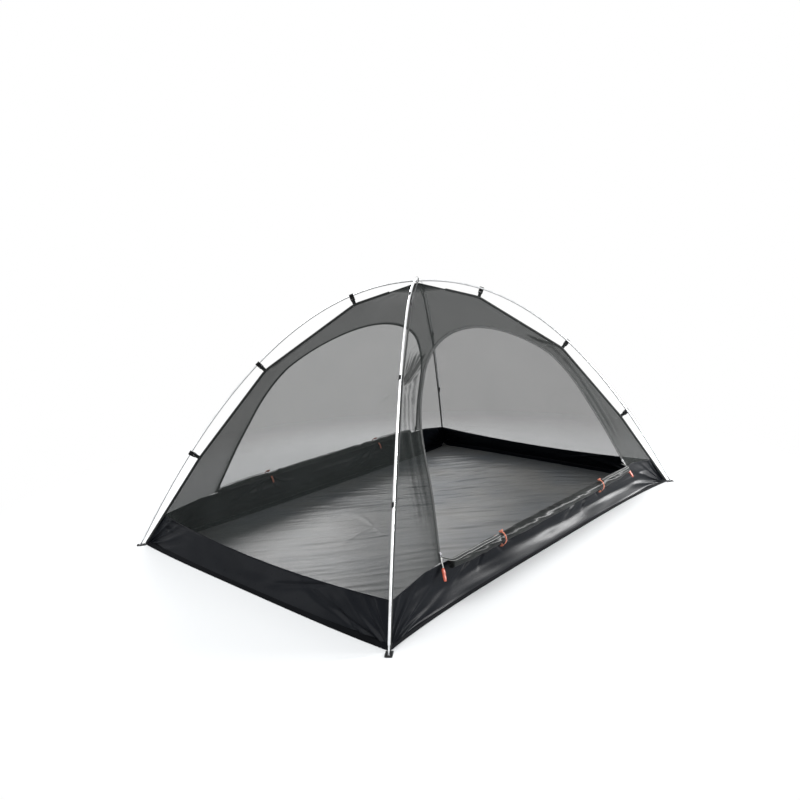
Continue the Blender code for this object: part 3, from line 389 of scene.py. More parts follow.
looks = {
    "net": {"pitch": 0.0016, "open": 0.50, "closed": 0.78, "gathered": 0.35, "uneven": 0.06,
            "most": 0.95, "dark": (0.012, 0.014, 0.013), "light": (0.022, 0.025, 0.024),
            "roughness": 0.7, "sheen": 0.02, "sheenRoughness": 0.5, "specular": 0.06,
            "broad": 2.5, "fine": 25.0, "depth": 0.0003, "bump": 0.5},
    "floorCloth": {"pitch": 0.0011, "dark": (0.108, 0.118, 0.130), "light": (0.162, 0.160, 0.154),
                   "roughness": (0.27, 0.38), "depth": 0.00003, "sheen": 0.04, "broad": 2.2,
                   "specular": 0.48},
    "wallCloth": {"pitch": 0.0011, "dark": (0.0042, 0.0052, 0.0074), "light": (0.0074, 0.0086, 0.0112),
                  "roughness": (0.24, 0.34), "depth": 0.00002, "sheen": 0.0, "broad": 4.0,
                  "specular": 0.06},
    # a darker, matte cloth for the band along the low walls' foot
    "darkFootCloth": {"pitch": 0.0011, "dark": (0.003, 0.0034, 0.0042), "light": (0.006, 0.0066, 0.0080),
                 "roughness": (0.50, 0.68), "depth": 0.00006, "sheen": 0.0, "specular": 0.03},
    "rollNet": {"pitch": 0.0016, "dark": (0.006, 0.007, 0.007), "light": (0.018, 0.020, 0.019),
                "roughness": (0.26, 0.38), "depth": 0.00008, "sheen": 0.03, "broad": 8.0,
                "specular": 0.09},
    "binding": {"rib": 0.0016, "yarn": 0.0022, "dark": (0.006, 0.007, 0.007),
                "light": (0.020, 0.021, 0.021), "roughness": (0.6, 0.8), "depth": 0.0002},
    "webbing": {"rib": 0.0019, "yarn": 0.0030, "dark": (0.006, 0.007, 0.007), "specular": 0.10,
                "light": (0.018, 0.020, 0.020), "roughness": (0.6, 0.8), "depth": 0.0003, "sheen": 0.05},
    "zipTape": {"rib": 0.0012, "yarn": 0.0018, "dark": (0.008, 0.009, 0.009),
                "light": (0.022, 0.024, 0.024), "roughness": (0.55, 0.75), "depth": 0.0002},
    "elastic": {"rib": 0.0010, "yarn": 0.0016, "dark": (0.34, 0.075, 0.038),
                "light": (0.60, 0.19, 0.11), "roughness": (0.55, 0.75), "depth": 0.0002},
    "pullCord": {"rib": 0.0009, "yarn": 0.0012, "dark": (0.62, 0.60, 0.56),
                 "light": (0.90, 0.89, 0.86), "roughness": (0.5, 0.7), "depth": 0.0002},
    "alloy": {"metallic": 1.0, "dark": (0.78, 0.79, 0.80), "light": (0.93, 0.94, 0.95),
              "roughness": (0.20, 0.36), "depth": 0.00001, "fine": 900.0},
    "hookPlastic": {"dark": (0.006, 0.006, 0.007), "light": (0.011, 0.011, 0.012),
                    "roughness": (0.50, 0.68), "depth": 0.00004, "specular": 0.12},
    "zipTeeth": {"dark": (0.07, 0.072, 0.070), "light": (0.13, 0.133, 0.13),
                 "roughness": (0.30, 0.45), "depth": 0.00002},
    "zipEdge": {"rib": 0.0009, "yarn": 0.0012, "dark": (0.26, 0.26, 0.25),
                "light": (0.52, 0.52, 0.50), "roughness": (0.5, 0.7), "depth": 0.0002},
    "sliderMetal": {"metallic": 0.9, "dark": (0.07, 0.07, 0.075), "light": (0.17, 0.17, 0.175),
                    "roughness": (0.22, 0.40), "depth": 0.00002},
    "grommetMetal": {"metallic": 1.0, "dark": (0.05, 0.05, 0.055), "light": (0.10, 0.10, 0.105),
                     "roughness": (0.25, 0.42), "depth": 0.00002},
    "pullTab": {"dark": (0.32, 0.034, 0.014), "light": (0.50, 0.080, 0.034),
                "roughness": (0.35, 0.55), "depth": 0.00004},
    "thread": {"dark": (0.030, 0.032, 0.032), "light": (0.075, 0.078, 0.078),
               "roughness": (0.5, 0.7), "depth": 0.00003},
    "shockCord": {"dark": (0.55, 0.55, 0.52), "light": (0.80, 0.80, 0.76),
                  "roughness": (0.6, 0.8), "depth": 0.00005},
}
makers = {
    "net": netMaterialOf, "floorCloth": clothMaterial, "wallCloth": clothMaterial,
    "darkFootCloth": clothMaterial, "rollNet": clothMaterial, "binding": ribbedMaterial,
    "webbing": ribbedMaterial, "zipTape": ribbedMaterial, "elastic": ribbedMaterial,
    "pullCord": ribbedMaterial, "zipEdge": ribbedMaterial,
}
materials = {name: makers.get(name, hardMaterial)(name, look) for name, look in looks.items()}
print("materials made")


# Mesh building

def newObject(name, mesh, material):
    obj = bpy.data.objects.new(name, mesh)
    obj.data.materials.append(materials[material])
    bpy.context.scene.collection.objects.link(obj)
    return obj


def setUv(mesh, perVertex):
    layer = mesh.uv_layers.new(name="flatCloth")
    index = np.empty(len(mesh.loops), dtype=np.int32)
    mesh.loops.foreach_get("vertex_index", index)
    layer.data.foreach_set("uv", np.asarray(perVertex, np.float32).reshape(-1, 2)[index].ravel())


sharpAngle = math.radians(50)


def gridMesh(name, points, uv, material, flip=False, ring=False, marks=None):
    # A sheet through a grid of points, or a closed tube where the columns form a ring
    rows, columns = points.shape[:2]
    index = np.arange(rows * columns).reshape(rows, columns)
    faces = []
    if ring:
        faces = [index[0, ::-1].tolist(), index[-1].tolist()]
        index = np.concatenate([index, index[:, :1]], axis=1)
    quads = np.stack([index[:-1, :-1], index[:-1, 1:], index[1:, 1:], index[1:, :-1]], -1)
    faces = quads.reshape(-1, 4).tolist() + faces
    if flip:
        faces = [face[::-1] for face in faces]
    mesh = bpy.data.meshes.new(name)
    mesh.from_pydata(points.reshape(-1, 3).tolist(), [], faces)
    setUv(mesh, uv)
    for label, values in (marks or {}).items():
        attribute = mesh.attributes.new(label, "FLOAT", "POINT")
        attribute.data.foreach_set("value", np.asarray(values, np.float32).ravel())
    mesh.shade_smooth()
    mesh.set_sharp_from_angle(angle=sharpAngle)
    return newObject(name, mesh, material)


def giveThickness(obj, thickness):
    solidify = obj.modifiers.new("clothThickness", "SOLIDIFY")
    solidify.thickness = thickness
    solidify.offset = 0.0


def applyModifiers(obj):
    bpy.context.view_layer.update()
    graph = bpy.context.evaluated_depsgraph_get()
    mesh = bpy.data.meshes.new_from_object(obj.evaluated_get(graph))
    obj.modifiers.clear()
    obj.data = mesh


def cleanMesh(mesh, merge=None, outwards=False):
    # Merge doubled points closer than merge, and turn the faces outwards
    work = bmesh.new()
    work.from_mesh(mesh)
    if merge:
        bmesh.ops.remove_doubles(work, verts=work.verts, dist=merge)
    if outwards:
        bmesh.ops.recalc_face_normals(work, faces=work.faces)
    work.to_mesh(mesh)
    work.free()


def unit(vectors):
    return vectors / np.maximum(np.linalg.norm(vectors, axis=-1, keepdims=True), 1e-12)


def squareTo(axis, vector):
    # The unit direction of a vector's part that is square to an axis
    return unit(vector - axis * np.dot(vector, axis))


def fullTurn(steps):
    return np.linspace(0, 2 * math.pi, steps, endpoint=False)


def hingeOf(body):
    return np.array(joints[body]["pos_m"]), unit(np.array(joints[body]["axis"], float))


def cornerOut(corner):
    # The level direction from the tent's middle to a corner
    sideX, sideY = corners[corner]
    return np.array([sideX * tent["halfLength"], sideY * tent["halfWidth"], 0.0]) / halfDiagonal


def pathLength(path):
    steps = np.linalg.norm(np.diff(path, axis=0), axis=1)
    return np.concatenate([[0], np.cumsum(steps)])


def resample(path, step):
    # The same line with even points
    path = np.asarray(path, float)
    length = pathLength(path)
    count = max(2, int(round(length[-1] / step)) + 1)
    marks = np.linspace(0, length[-1], count)
    return np.stack([np.interp(marks, length, path[:, k]) for k in range(3)], axis=1)


def ease(path, times):
    # Corners rounded by a short running mean
    path = path.copy()
    for _ in range(times):
        path[1:-1] = (path[:-2] + 2 * path[1:-1] + path[2:]) / 4
    return path


def sweep(name, path, facing, outline, material, scales=None):
    # An outline of (across, out) swept along a path. facing gives each point's out direction.
    path = np.asarray(path, float)
    along = unit(np.gradient(path, axis=0))
    out = np.broadcast_to(np.asarray(facing, float), path.shape)
    out = unit(out - along * np.sum(out * along, axis=1, keepdims=True))
    across = np.cross(out, along)
    outline = np.asarray(outline, float)
    scales = np.ones(len(path)) if scales is None else np.asarray(scales, float)
    points = (path[:, None]
              + across[:, None] * outline[None, :, :1] * scales[:, None, None]
              + out[:, None] * outline[None, :, 1:] * scales[:, None, None])
    around = pathLength(np.vstack([outline, outline[:1]]))[:-1]
    uv = np.stack(np.broadcast_arrays(pathLength(path)[:, None], around[None]), -1)
    return gridMesh(name, points, uv, material, ring=True)


def ellipse(across, out, steps=12):
    turn = fullTurn(steps)
    return np.stack([across * np.cos(turn), out * np.sin(turn)], 1)


def flatBand(width, thickness):
    # A tape's section with rounded edges
    half, edge = width / 2, thickness / 2
    flank = edge * 0.4
    return [(-half, -flank), (-half + edge, -edge), (half - edge, -edge), (half, -flank),
            (half, flank), (half - edge, edge), (-half + edge, edge), (-half, flank)]


def softNoise(x, y, cell, seed):
    # Smooth seeded bumps between about -1 and 1, with that cell size
    size = 64
    lattice = np.random.default_rng(seed).uniform(-1, 1, (size, size))
    x, y = np.asarray(x, float) / cell + size, np.asarray(y, float) / cell + size
    column, row = np.floor(x).astype(int), np.floor(y).astype(int)
    fx, fy = x - column, y - row
    fx, fy = fx * fx * (3 - 2 * fx), fy * fy * (3 - 2 * fy)
    a = lattice[row % size, column % size]
    b = lattice[row % size, (column + 1) % size]
    c = lattice[(row + 1) % size, column % size]
    d = lattice[(row + 1) % size, (column + 1) % size]
    return (a * (1 - fx) + b * fx) * (1 - fy) + (c * (1 - fx) + d * fx) * fy


def smoothStep(value, low, high):
    share = np.clip((value - low) / (high - low), 0, 1)
    return share * share * (3 - 2 * share)


def rideOn(obj, body, slot, *nodes):
    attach(obj, body)
    if nodes:
        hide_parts(*nodes)
    return obj


# The tent's lines: poles, ridges, slopes and door

lineLook = {"poleSamples": 2001, "step": 0.002, "softHalf": 45, "soften": 0.9, "leanStep": 0.004,
            "leastUp": 0.05, "inset": 0.0012, "arcSamples": 160, "zipSamples": 260}


def poleCurve(crossing):
    # Length along a bent pole, distance from the centre, and height
    share = np.linspace(-1, 1, lineLook["poleSamples"])
    across = share * halfDiagonal
    rise = crossing - tent["footRise"]
    height = tent["footRise"] + rise * (1 - np.abs(share) ** tent["curvePower"])
    return pathLength(np.stack([across, height], 1)), across, height


def ridgeLine():
    # Where the net's corners run: from the floor's corner past the three hooks to the apex
    length, across, height = poleCurve(tent["crossing"])
    section = length[-1] / tent["sections"]
    middle = np.linspace(tent["ferrule"], section - tent["ferrule"], tent["spans"] + 1)
    local = np.concatenate([[0, tent["ferrule"] / 2], middle, [section - tent["ferrule"] / 2]])
    marks = np.concatenate([local + i * section for i in range(tent["sections"])] + [[length[-1]]])
    line = np.stack([np.interp(marks, length, across), np.interp(marks, length, height)], 1)
    centres = (line[:-1] + line[1:]) / 2
    points = [(tent["cornerShare"] * halfDiagonal, 0.0)]
    for share in tent["clipShares"]:
        i = int(np.argmin(np.abs(centres[:, 0] - share * halfDiagonal)))
        along = (line[i + 1] - line[i]) / np.linalg.norm(line[i + 1] - line[i])
        points.append(centres[i] + np.array([along[1], -along[0]]) * tent["clipReach"])
    points.append((0.0, tent["crossing"] - tent["apexDrop"]))
    return np.array(points)


ridge = ridgeLine()
ridgeShare = ridge[:, 0] / halfDiagonal
patchTop = ridge[-2] + (ridge[-1] - ridge[-2]) * (
    1 - tent["patchShare"] * halfDiagonal / ridge[-2, 0])


def shareAt(height):
    return np.interp(height, ridge[:, 1], ridgeShare)


def ridgePoint(share, height, sideX, sideY):
    return np.array([sideX * share * tent["halfLength"], sideY * share * tent["halfWidth"], height])


def makeSlope(side):
    # One side of the canopy, flattened: v is the way up its middle from the low wall's top.
    door = sides[side][0] == 0
    out, across = tent["halfWidth"], tent["halfLength"]
    zero = tent["sillHeight"]
    if not door:
        out, across = across, out
        zero = tent["cornerHeight"]
    profile = np.stack([ridgeShare * out, ridge[:, 1]], 1)
    v = pathLength(profile)
    v -= np.interp(zero, ridge[:, 1], v)
    fine = np.arange(v[0], v[-1], lineLook["step"])
    half = lineLook["softHalf"]
    window = np.ones(2 * half + 1) / (2 * half + 1)
    softened = []
    for k in range(2):
        line = np.interp(fine, v, profile[:, k])
        start = line[0] + (line[0] - line[half:0:-1])
        end = line[-1] + (line[-1] - line[-2:-half - 2:-1])
        softened.append(np.convolve(np.concatenate([start, line, end]), window, "valid"))
    return {"side": side, "door": door, "across": across, "v": v, "profile": profile,
            "fine": fine, "soft": np.array(softened),
            "top": float(np.interp(patchTop[1], ridge[:, 1], v))}


def halfAcross(slope, v):
    return np.interp(v, slope["v"], ridgeShare) * slope["across"] - lineLook["inset"]


def slopePoint(slope, c, v, lift=0.0):
    # A point at share c across and v up a side, lifted outwards. The fold lines at the hooks
    # are sharp at the ridges and soften towards the middle.
    c, v, lift = np.broadcast_arrays(np.asarray(c, float), np.asarray(v, float), lift)
    out = np.interp(v, slope["v"], slope["profile"][:, 0])
    height = np.interp(v, slope["v"], slope["profile"][:, 1])
    soften = (1 - c ** 4) * lineLook["soften"]
    softOut = np.interp(v, slope["fine"], slope["soft"][0])
    softHeight = np.interp(v, slope["fine"], slope["soft"][1])
    out, height = out + (softOut - out) * soften, height + (softHeight - height) * soften
    step = lineLook["leanStep"]
    leanOut = (np.interp(v + step, slope["fine"], slope["soft"][0])
               - np.interp(v - step, slope["fine"], slope["soft"][0])) / (2 * step)
    up = np.sqrt(np.clip(1 - leanOut ** 2, lineLook["leastUp"], 1))
    x = c * halfAcross(slope, v)
    out, height = out + lift * up, height - lift * leanOut
    sideX, sideY = sides[slope["side"]]
    if slope["door"]:
        return np.stack([x, sideY * out, height], -1)
    return np.stack([sideX * out, x, height], -1)


slopes = {side: makeSlope(side) for side in sides}
facesOut = {"front": False, "back": True, "left": True, "right": False}


def wallTop(side, c):
    # Height of the low wall's top edge at a share along it
    c = np.asarray(c, float)
    if not slopes[side]["door"]:
        return tent["cornerHeight"] - tent["endDip"] * (1 - c ** 2)
    last = 1 - 2 / tent["columns"]
    drop = tent["sillHeight"] - tent["cornerHeight"]
    return tent["sillHeight"] - drop * np.clip((np.abs(c) - last) / (1 - last), 0, 1)


doorHalf = tent["halfLength"] - tent["doorSideMargin"]
doorRadius = doorHalf - tent["doorLean"]
doorCentre = slopes["front"]["v"][-1] - tent["doorTopMargin"] - doorRadius


def doorLine(offset, count=lineLook["zipSamples"]):
    # The zip's line on the flattened wall, moved outwards by offset, as (x, v)
    foot = Vector((doorHalf, -doorCentre))
    tangent = math.atan2(foot.y, foot.x) + math.acos(doorRadius / foot.length)
    normal = Vector((math.cos(tangent), math.sin(tangent)))
    touch = normal * doorRadius
    start = foot.lerp(touch, tent["zipStart"] / (touch.y - foot.y))
    side = [start + normal * offset, touch + normal * offset]
    angles = np.linspace(tangent, math.pi - tangent, lineLook["arcSamples"])[1:-1]
    radius = doorRadius + offset
    right = [(point.x, point.y) for point in side]
    top = [(radius * math.cos(a), radius * math.sin(a)) for a in angles]
    left = [(-x, y) for x, y in reversed(right)]
    line = np.array(right + top + left)
    line = np.stack([line[:, 0], line[:, 1] + doorCentre, np.zeros(len(line))], 1)
    length = pathLength(line)
    marks = np.linspace(0, length[-1], count)
    return np.stack([np.interp(marks, length, line[:, k]) for k in range(2)], 1)


# The canopy's folds

netFolds = {
    "sag": 0.006, "sagCell": 0.42, "zipClear": (0.20, 0.38), "endClear": (-0.02, 0.05),
    "edgeFade": 0.018, "footFade": (-0.02, 0.05), "topFade": 0.03, "doorFade": 0.02,
    "wrinkleDepth": 0.0010, "wrinkleCell": 0.07, "wrinkleLean": (0.6, 1.4, 0.5), "gatherGain": 2.6,
}
# ripples that spread from each hook, lowest first, and from the apex
fanFolds = {
    "depth": 0.0030, "reach": 0.09, "waves": 7, "sizes": (0.7, 1.0, 0.8),
    "apexDepth": 0.0060, "apexReach": 0.11, "apexWaves": 22,
    "twist": 0.25, "twistCell": 0.12, "heart": 0.045,
}
# ripples along the door's arch
stripFolds = {
    "depth": 0.0034, "pitch": 0.046, "place": 0.05, "reach": 0.06, "foot": (0.05, 0.22),
    "top": 0.80, "topFade": 0.2, "wander": 0.010, "wanderCell": 0.30,
    "strength": {"front": 1.0, "back": 0.3},
}
# the bundle from the middle hook: on the left at full size, on the right at secondShare
bundleFolds = {
    "depth": 0.0092, "pitch": 0.029, "width": 0.027, "length": 0.30, "slope": 0.56,
    "narrow": 0.26, "widen": 1.1, "fadeIn": 0.05, "fadeOut": 0.16, "bend": 0.004, "bendWaves": 22,
    "secondShare": 0.35,
}


def fan(x, v, px, pv, waves, reach, depth, seed):
    dx, dv = x - px, v - pv
    r = np.hypot(dx, dv)
    twist = fanFolds["twist"] * softNoise(dx, dv, fanFolds["twistCell"], seed)
    grow = 1 - np.exp(-(r / fanFolds["heart"]) ** 2)
    return depth * np.sin(waves * (np.arctan2(dv, dx) + twist) + seed) * np.exp(-r / reach) * grow


def pullFolds(slope, x, v, sign):
    f = bundleFolds
    px, pv = sign * halfAcross(slope, slope["v"][2]), slope["v"][2]
    heading = math.atan(f["slope"])
    dx, dv = (x - px) * -sign, v - pv
    along = dx * math.cos(heading) + dv * math.sin(heading)
    aside = dv * math.cos(heading) - dx * math.sin(heading)
    widen = f["narrow"] + f["widen"] * np.clip(along / f["length"], 0, 1)
    window = np.exp(-(aside / (f["width"] * widen)) ** 2)
    window = window * smoothStep(along, 0.0, f["fadeIn"])
    window = window * smoothStep(f["length"] - along, 0.0, f["fadeOut"])
    bend = f["bend"] * np.sin(along * f["bendWaves"])
    return f["depth"] * window * np.sin(2 * math.pi * (aside + bend) / (f["pitch"] * widen))


def archFolds(slope, x, v, archDistance, seed):
    f = stripFolds
    wander = f["wander"] * softNoise(x, v, f["wanderCell"], seed + 21)
    window = smoothStep(v, *f["foot"]) * smoothStep(slope["top"] * f["top"] - v, 0.0, f["topFade"])
    window = window * np.exp(-((archDistance - f["place"]) / f["reach"]) ** 2)
    wave = np.sin(2 * math.pi * (archDistance + wander) / f["pitch"])
    return f["strength"][slope["side"]] * f["depth"] * window * wave


def broadSag(slope, x, v, seed):
    # The wide soft bulges. Beside a door they start above the straight run of the zip.
    start = netFolds["zipClear"] if slope["door"] else netFolds["endClear"]
    return netFolds["sag"] * softNoise(x, v, netFolds["sagCell"], seed) * smoothStep(v, *start)


def netLift(slope, x, v, seed, archDistance=None):
    # How far the net stands off its plane, in metres
    f = netFolds
    inside = np.clip((halfAcross(slope, v) - np.abs(x)) / f["edgeFade"], 0, 1)
    fine = np.zeros_like(x)
    for i, size in zip((1, 2, 3), fanFolds["sizes"]):
        for sign in (-1, 1):
            px, pv = sign * halfAcross(slope, slope["v"][i]), slope["v"][i]
            fine += fan(x, v, px, pv, fanFolds["waves"], fanFolds["reach"] * size,
                        fanFolds["depth"] * size, seed + i * sign)
    fine += fan(x, v, 0.0, slope["v"][-1], fanFolds["apexWaves"], fanFolds["apexReach"],
                fanFolds["apexDepth"], seed + 9)
    leanX, stretchV, leanV = f["wrinkleLean"]
    fine += f["wrinkleDepth"] * softNoise(x * leanX + v, v * stretchV - x * leanV,
                                          f["wrinkleCell"], seed + 11)
    if archDistance is not None:
        fine += archFolds(slope, x, v, archDistance, seed)
        if slope["side"] == "front":
            right = bundleFolds["secondShare"] * pullFolds(slope, x, v, 1)
            fine += pullFolds(slope, x, v, -1) + right
        fine = fine * smoothStep(archDistance, 0.0, f["doorFade"])
    foot = smoothStep(v, *f["footFade"])
    top = smoothStep(slope["top"] - v, 0.0, f["topFade"])
    return (broadSag(slope, x, v, seed) + fine * foot) * inside * top


def gatherOf(lift, points):
    # Steeper folds look denser, because more net stands in the way there
    alongRows = np.linalg.norm(np.gradient(points, axis=0), axis=-1)
    alongColumns = np.linalg.norm(np.gradient(points, axis=1), axis=-1)
    steep = (np.gradient(lift, axis=0) / np.maximum(alongRows, 1e-6)) ** 2
    steep = steep + (np.gradient(lift, axis=1) / np.maximum(alongColumns, 1e-6)) ** 2
    return np.clip(netFolds["gatherGain"] * steep, 0, 1)


netLook = {
    "endColumns": 170, "endRows": 160, "seam": 0.03, "doorColumns": 320, "doorRows": 46,
    "underTape": 0.002, "footBlend": 0.10,
    # denser net: the hem at the door, then the doubled strip beside it, up to a height
    "hem": 0.35, "hemEnd": (0.004, 0.007), "strip": 0.22, "stripEnd": (0.012, 0.034),
    "stripTop": 0.45, "stripFade": 0.2,
    # a door side is cut as two mirrored strips: their size when laid side by side
    "doorFlat": (1.37, 0.70),
}


def finishNet(slope, c, v, lift, extra=0.0):
    side = slope["side"]
    points = slopePoint(slope, c, v, lift)
    gather = np.clip(gatherOf(lift, points) + extra, 0, 1)
    uv = np.stack([c * halfAcross(slope, v), v], -1)
    obj = gridMesh(f"net_{side}", points, uv, "net", flip=facesOut[side], marks={"gather": gather})
    down, across = points[1:, :-1] - points[:-1, :-1], points[:-1, 1:] - points[:-1, :-1]
    area = float(np.linalg.norm(np.cross(down, across), axis=-1).sum())
    return rideOn(obj, "tent", "black_net", f"net_panel_{side}"), area


def makeEndNet(side, seed):
    slope = slopes[side]
    c = np.linspace(-1, 1, netLook["endColumns"])[None, :]
    low = np.interp(wallTop(side, c), slope["profile"][:, 1], slope["v"])
    v = low + (slope["top"] - low) * np.linspace(0, 1, netLook["endRows"])[:, None]
    c = np.broadcast_to(c, v.shape)
    obj, area = finishNet(slope, c, v, netLift(slope, c * halfAcross(slope, v), v, seed))


def slopeFoot(slope):
    # v where the low wall's corner meets the ridge
    return float(np.interp(tent["cornerHeight"], slope["profile"][:, 1], slope["v"]))


def boundaryPoint(slope, angle):
    # Where a ray from the door's centre meets the ridges or the apex patch, as (x, v)
    low = slopeFoot(slope)
    corner = [(float(halfAcross(slope, v)), v) for v in (low, *slope["v"][1:4], slope["top"])]
    ring = corner + [(-x, v) for x, v in reversed(corner)]
    dx, dv = math.cos(angle), math.sin(angle)
    tiny, best = 1e-9, None
    for (x0, v0), (x1, v1) in zip(ring, ring[1:]):
        ex, ev = x1 - x0, v1 - v0
        cross = dx * ev - dv * ex
        if abs(cross) < tiny / 1000:
            continue
        t = (x0 * ev - (v0 - doorCentre) * ex) / cross
        s = (x0 * dv - (v0 - doorCentre) * dx) / cross
        if t > 0 and -tiny <= s <= 1 + tiny:
            best = t if best is None else max(best, t)
    return best * dx, best * dv + doorCentre


def makeDoorNet(side, seed):
    look = netLook
    slope = slopes[side]
    inner = doorLine(tent["zipWidth"] / 2 - look["underTape"], look["doorColumns"])
    low = slopeFoot(slope)
    angles = np.unwrap(np.arctan2(inner[:, 1] - doorCentre, inner[:, 0]))
    tiny = 1e-6
    first = math.atan2(low - doorCentre, float(halfAcross(slope, low))) + tiny
    share = (angles - angles[0]) / (angles[-1] - angles[0])
    outer = np.array([boundaryPoint(slope, first + (math.pi - 2 * first) * s) for s in share])
    rise = np.linspace(0, 1, look["doorRows"])[:, None]
    x = inner[None, :, 0] * (1 - rise) + outer[None, :, 0] * rise
    v = inner[None, :, 1] * (1 - rise) + outer[None, :, 1] * rise
    c = np.clip(x / halfAcross(slope, np.maximum(v, low)), -1, 1)
    edge = np.interp(wallTop(side, c), slope["profile"][:, 1], slope["v"])
    sink = np.clip(1 - np.maximum(v, 0) / look["footBlend"], 0, 1) * (v > edge)
    v = np.maximum(v + edge * sink, edge)
    fromInner = np.stack([x - inner[None, :, 0], v - inner[None, :, 1]], -1)
    archDistance = np.linalg.norm(fromInner, axis=-1)
    lift = netLift(slope, c * halfAcross(slope, v), v, seed, archDistance)
    dense = look["hem"] * (1 - smoothStep(archDistance, *look["hemEnd"]))
    strip = look["strip"] * (1 - smoothStep(archDistance, *look["stripEnd"]))
    dense = dense + strip * smoothStep(look["stripTop"] - v, 0.0, look["stripFade"])
    obj, area = finishNet(slope, c, v, lift, dense)


patchLook = {
    "perSide": 60, "rings": 22, "heart": 0.004, "pleatDepth": 0.0024, "pleats": 24,
    "gather": 0.35, "pleatGather": 0.45, "merge": 0.0002,
}


def makeApexPatch():
    # The top patch: four sides that meet at the apex, with pleats running down them
    look = patchLook
    count = look["perSide"]
    reach = patchTop[0] / halfDiagonal
    turns = fullTurn(4 * count)
    square = [(-1, -1), (1, -1), (1, 1), (-1, 1)]
    round4 = []
    for (x0, y0), (x1, y1) in zip(square, square[1:] + square[:1]):
        round4 += [(x0 + (x1 - x0) * i / count, y0 + (y1 - y0) * i / count) for i in range(count)]
    round4 = np.array(round4)
    share = np.linspace(look["heart"], 1, look["rings"])[:, None]
    height = ridge[-1, 1] + (patchTop[1] - ridge[-1, 1]) * share
    height = height + look["pleatDepth"] * np.sin(look["pleats"] * turns) * share * (1 - share) * 4
    points = np.stack([round4[:, 0] * reach * share * tent["halfLength"],
                       round4[:, 1] * reach * share * tent["halfWidth"], height], -1)
    ripple = np.abs(np.sin(look["pleats"] / 2 * turns)) ** 3
    gather = np.broadcast_to(look["gather"] + look["pleatGather"] * ripple, points.shape[:2])
    closed = np.concatenate([points, points[:, :1]], axis=1)
    obj = gridMesh("apexPatch", closed, closed[..., :2], "net", flip=True,
                   marks={"gather": np.concatenate([gather, gather[:, :1]], axis=1)})
    work = bmesh.new()
    work.from_mesh(obj.data)
    bmesh.ops.remove_doubles(work, verts=work.verts, dist=look["merge"])
    innermost = 2 * look["heart"] * reach * math.hypot(tent["halfLength"], tent["halfWidth"])
    holes = [edge for edge in work.edges if edge.is_boundary and edge.verts[0].co.xy.length < innermost]
    bmesh.ops.holes_fill(work, edges=holes, sides=0)
    work.to_mesh(obj.data)
    work.free()
    obj.data.shade_smooth()
    rideOn(obj, "tent", "black_net", "apex_patch")


# Floor and low walls

creaseLook = {"fadeIn": 0.12, "fadeOut": 0.5, "startWidth": 0.5}


def crease(x, y, start, stop, width, depth, bow):
    # A narrow groove between two points that widens and fades along its way
    f = creaseLook
    (ax, ay), (bx, by) = start, stop
    length = math.hypot(bx - ax, by - ay)
    ux, uy = (bx - ax) / length, (by - ay) / length
    along = ((x - ax) * ux + (y - ay) * uy) / length
    aside = (y - ay) * ux - (x - ax) * uy + bow * np.sin(math.pi * np.clip(along, 0, 1))
    window = smoothStep(along, 0.0, f["fadeIn"]) * smoothStep(1 - along, 0.0, f["fadeOut"])
    return depth * window * np.exp(-(aside / (width * (f["startWidth"] + np.clip(along, 0, 1)))) ** 2)


floorLook = {
    "columns": 340, "rows": 240, "edge": 0.999, "lie": 0.0006, "borderFade": (0.045, 0.15),
    # each ripple: stretch along its crest, cell, share and seed
    "ripples": ((12, 0.028, 1.0, 5), (9, 0.014, 0.6, 6)),
    "rippleDepth": 0.0030, "rippleAngle": math.radians(-42), "rippleRaise": 0.8,
    "bend": 0.05, "bendCell": 0.5, "bendSeed": 3,
    # the ripples grow from the left end to the right
    "least": 0.30, "growth": 0.8, "growReach": 0.5, "growLean": 0.3,
    "starPlace": (-0.30, 0.05), "starDepth": 0.0013, "starWidth": 0.013, "starBow": 0.01,
    # each ray of the star: direction in radians and length
    "starRays": ((0.15, 0.05), (1.25, 0.22), (2.3, 0.16), (3.3, 0.28), (4.4, 0.18), (5.4, 0.24)),
}


def makeFloor():
    look = floorLook
    ground = ridge[0, 0] / halfDiagonal
    gx, gy = ground * tent["halfLength"] * look["edge"], ground * tent["halfWidth"] * look["edge"]
    c, d = np.meshgrid(np.linspace(-1, 1, look["columns"]), np.linspace(-1, 1, look["rows"]))
    x = c * (gx + tent["endBulge"] * (1 - d ** 4))
    y = d * (gy - tent["sideSag"] * (1 - c ** 4))
    cos, sin = math.cos(look["rippleAngle"]), math.sin(look["rippleAngle"])
    crest, over = x * cos + y * sin, -x * sin + y * cos
    over = over + look["bend"] * softNoise(crest, over, look["bendCell"], look["bendSeed"])
    grown = smoothStep(x + look["growLean"] * y, -look["growReach"], look["growReach"])
    ripple = 0
    for stretch, cell, share, seed in look["ripples"]:
        ripple = ripple + share * softNoise(crest / stretch, over, cell, seed)
    lift = look["rippleDepth"] * ripple * (grown * look["growth"] + look["least"])
    star = look["starPlace"]
    for turn, reach in look["starRays"]:
        tip = (star[0] + reach * math.cos(turn), star[1] + reach * math.sin(turn))
        lift = lift + crease(x, y, star, tip, look["starWidth"], look["starDepth"], look["starBow"])
    border = np.minimum(1 - np.abs(c), 1 - np.abs(d))
    raised = np.maximum(lift + look["rippleDepth"] * look["rippleRaise"], 0)
    points = np.stack([x, y, look["lie"] + raised * smoothStep(border, *look["borderFade"])], -1)
    obj = gridMesh("floorSheet", points, points[..., :2], "floorCloth")
    rideOn(obj, "tent", "grey_floor_cloth", "floor_sheet")


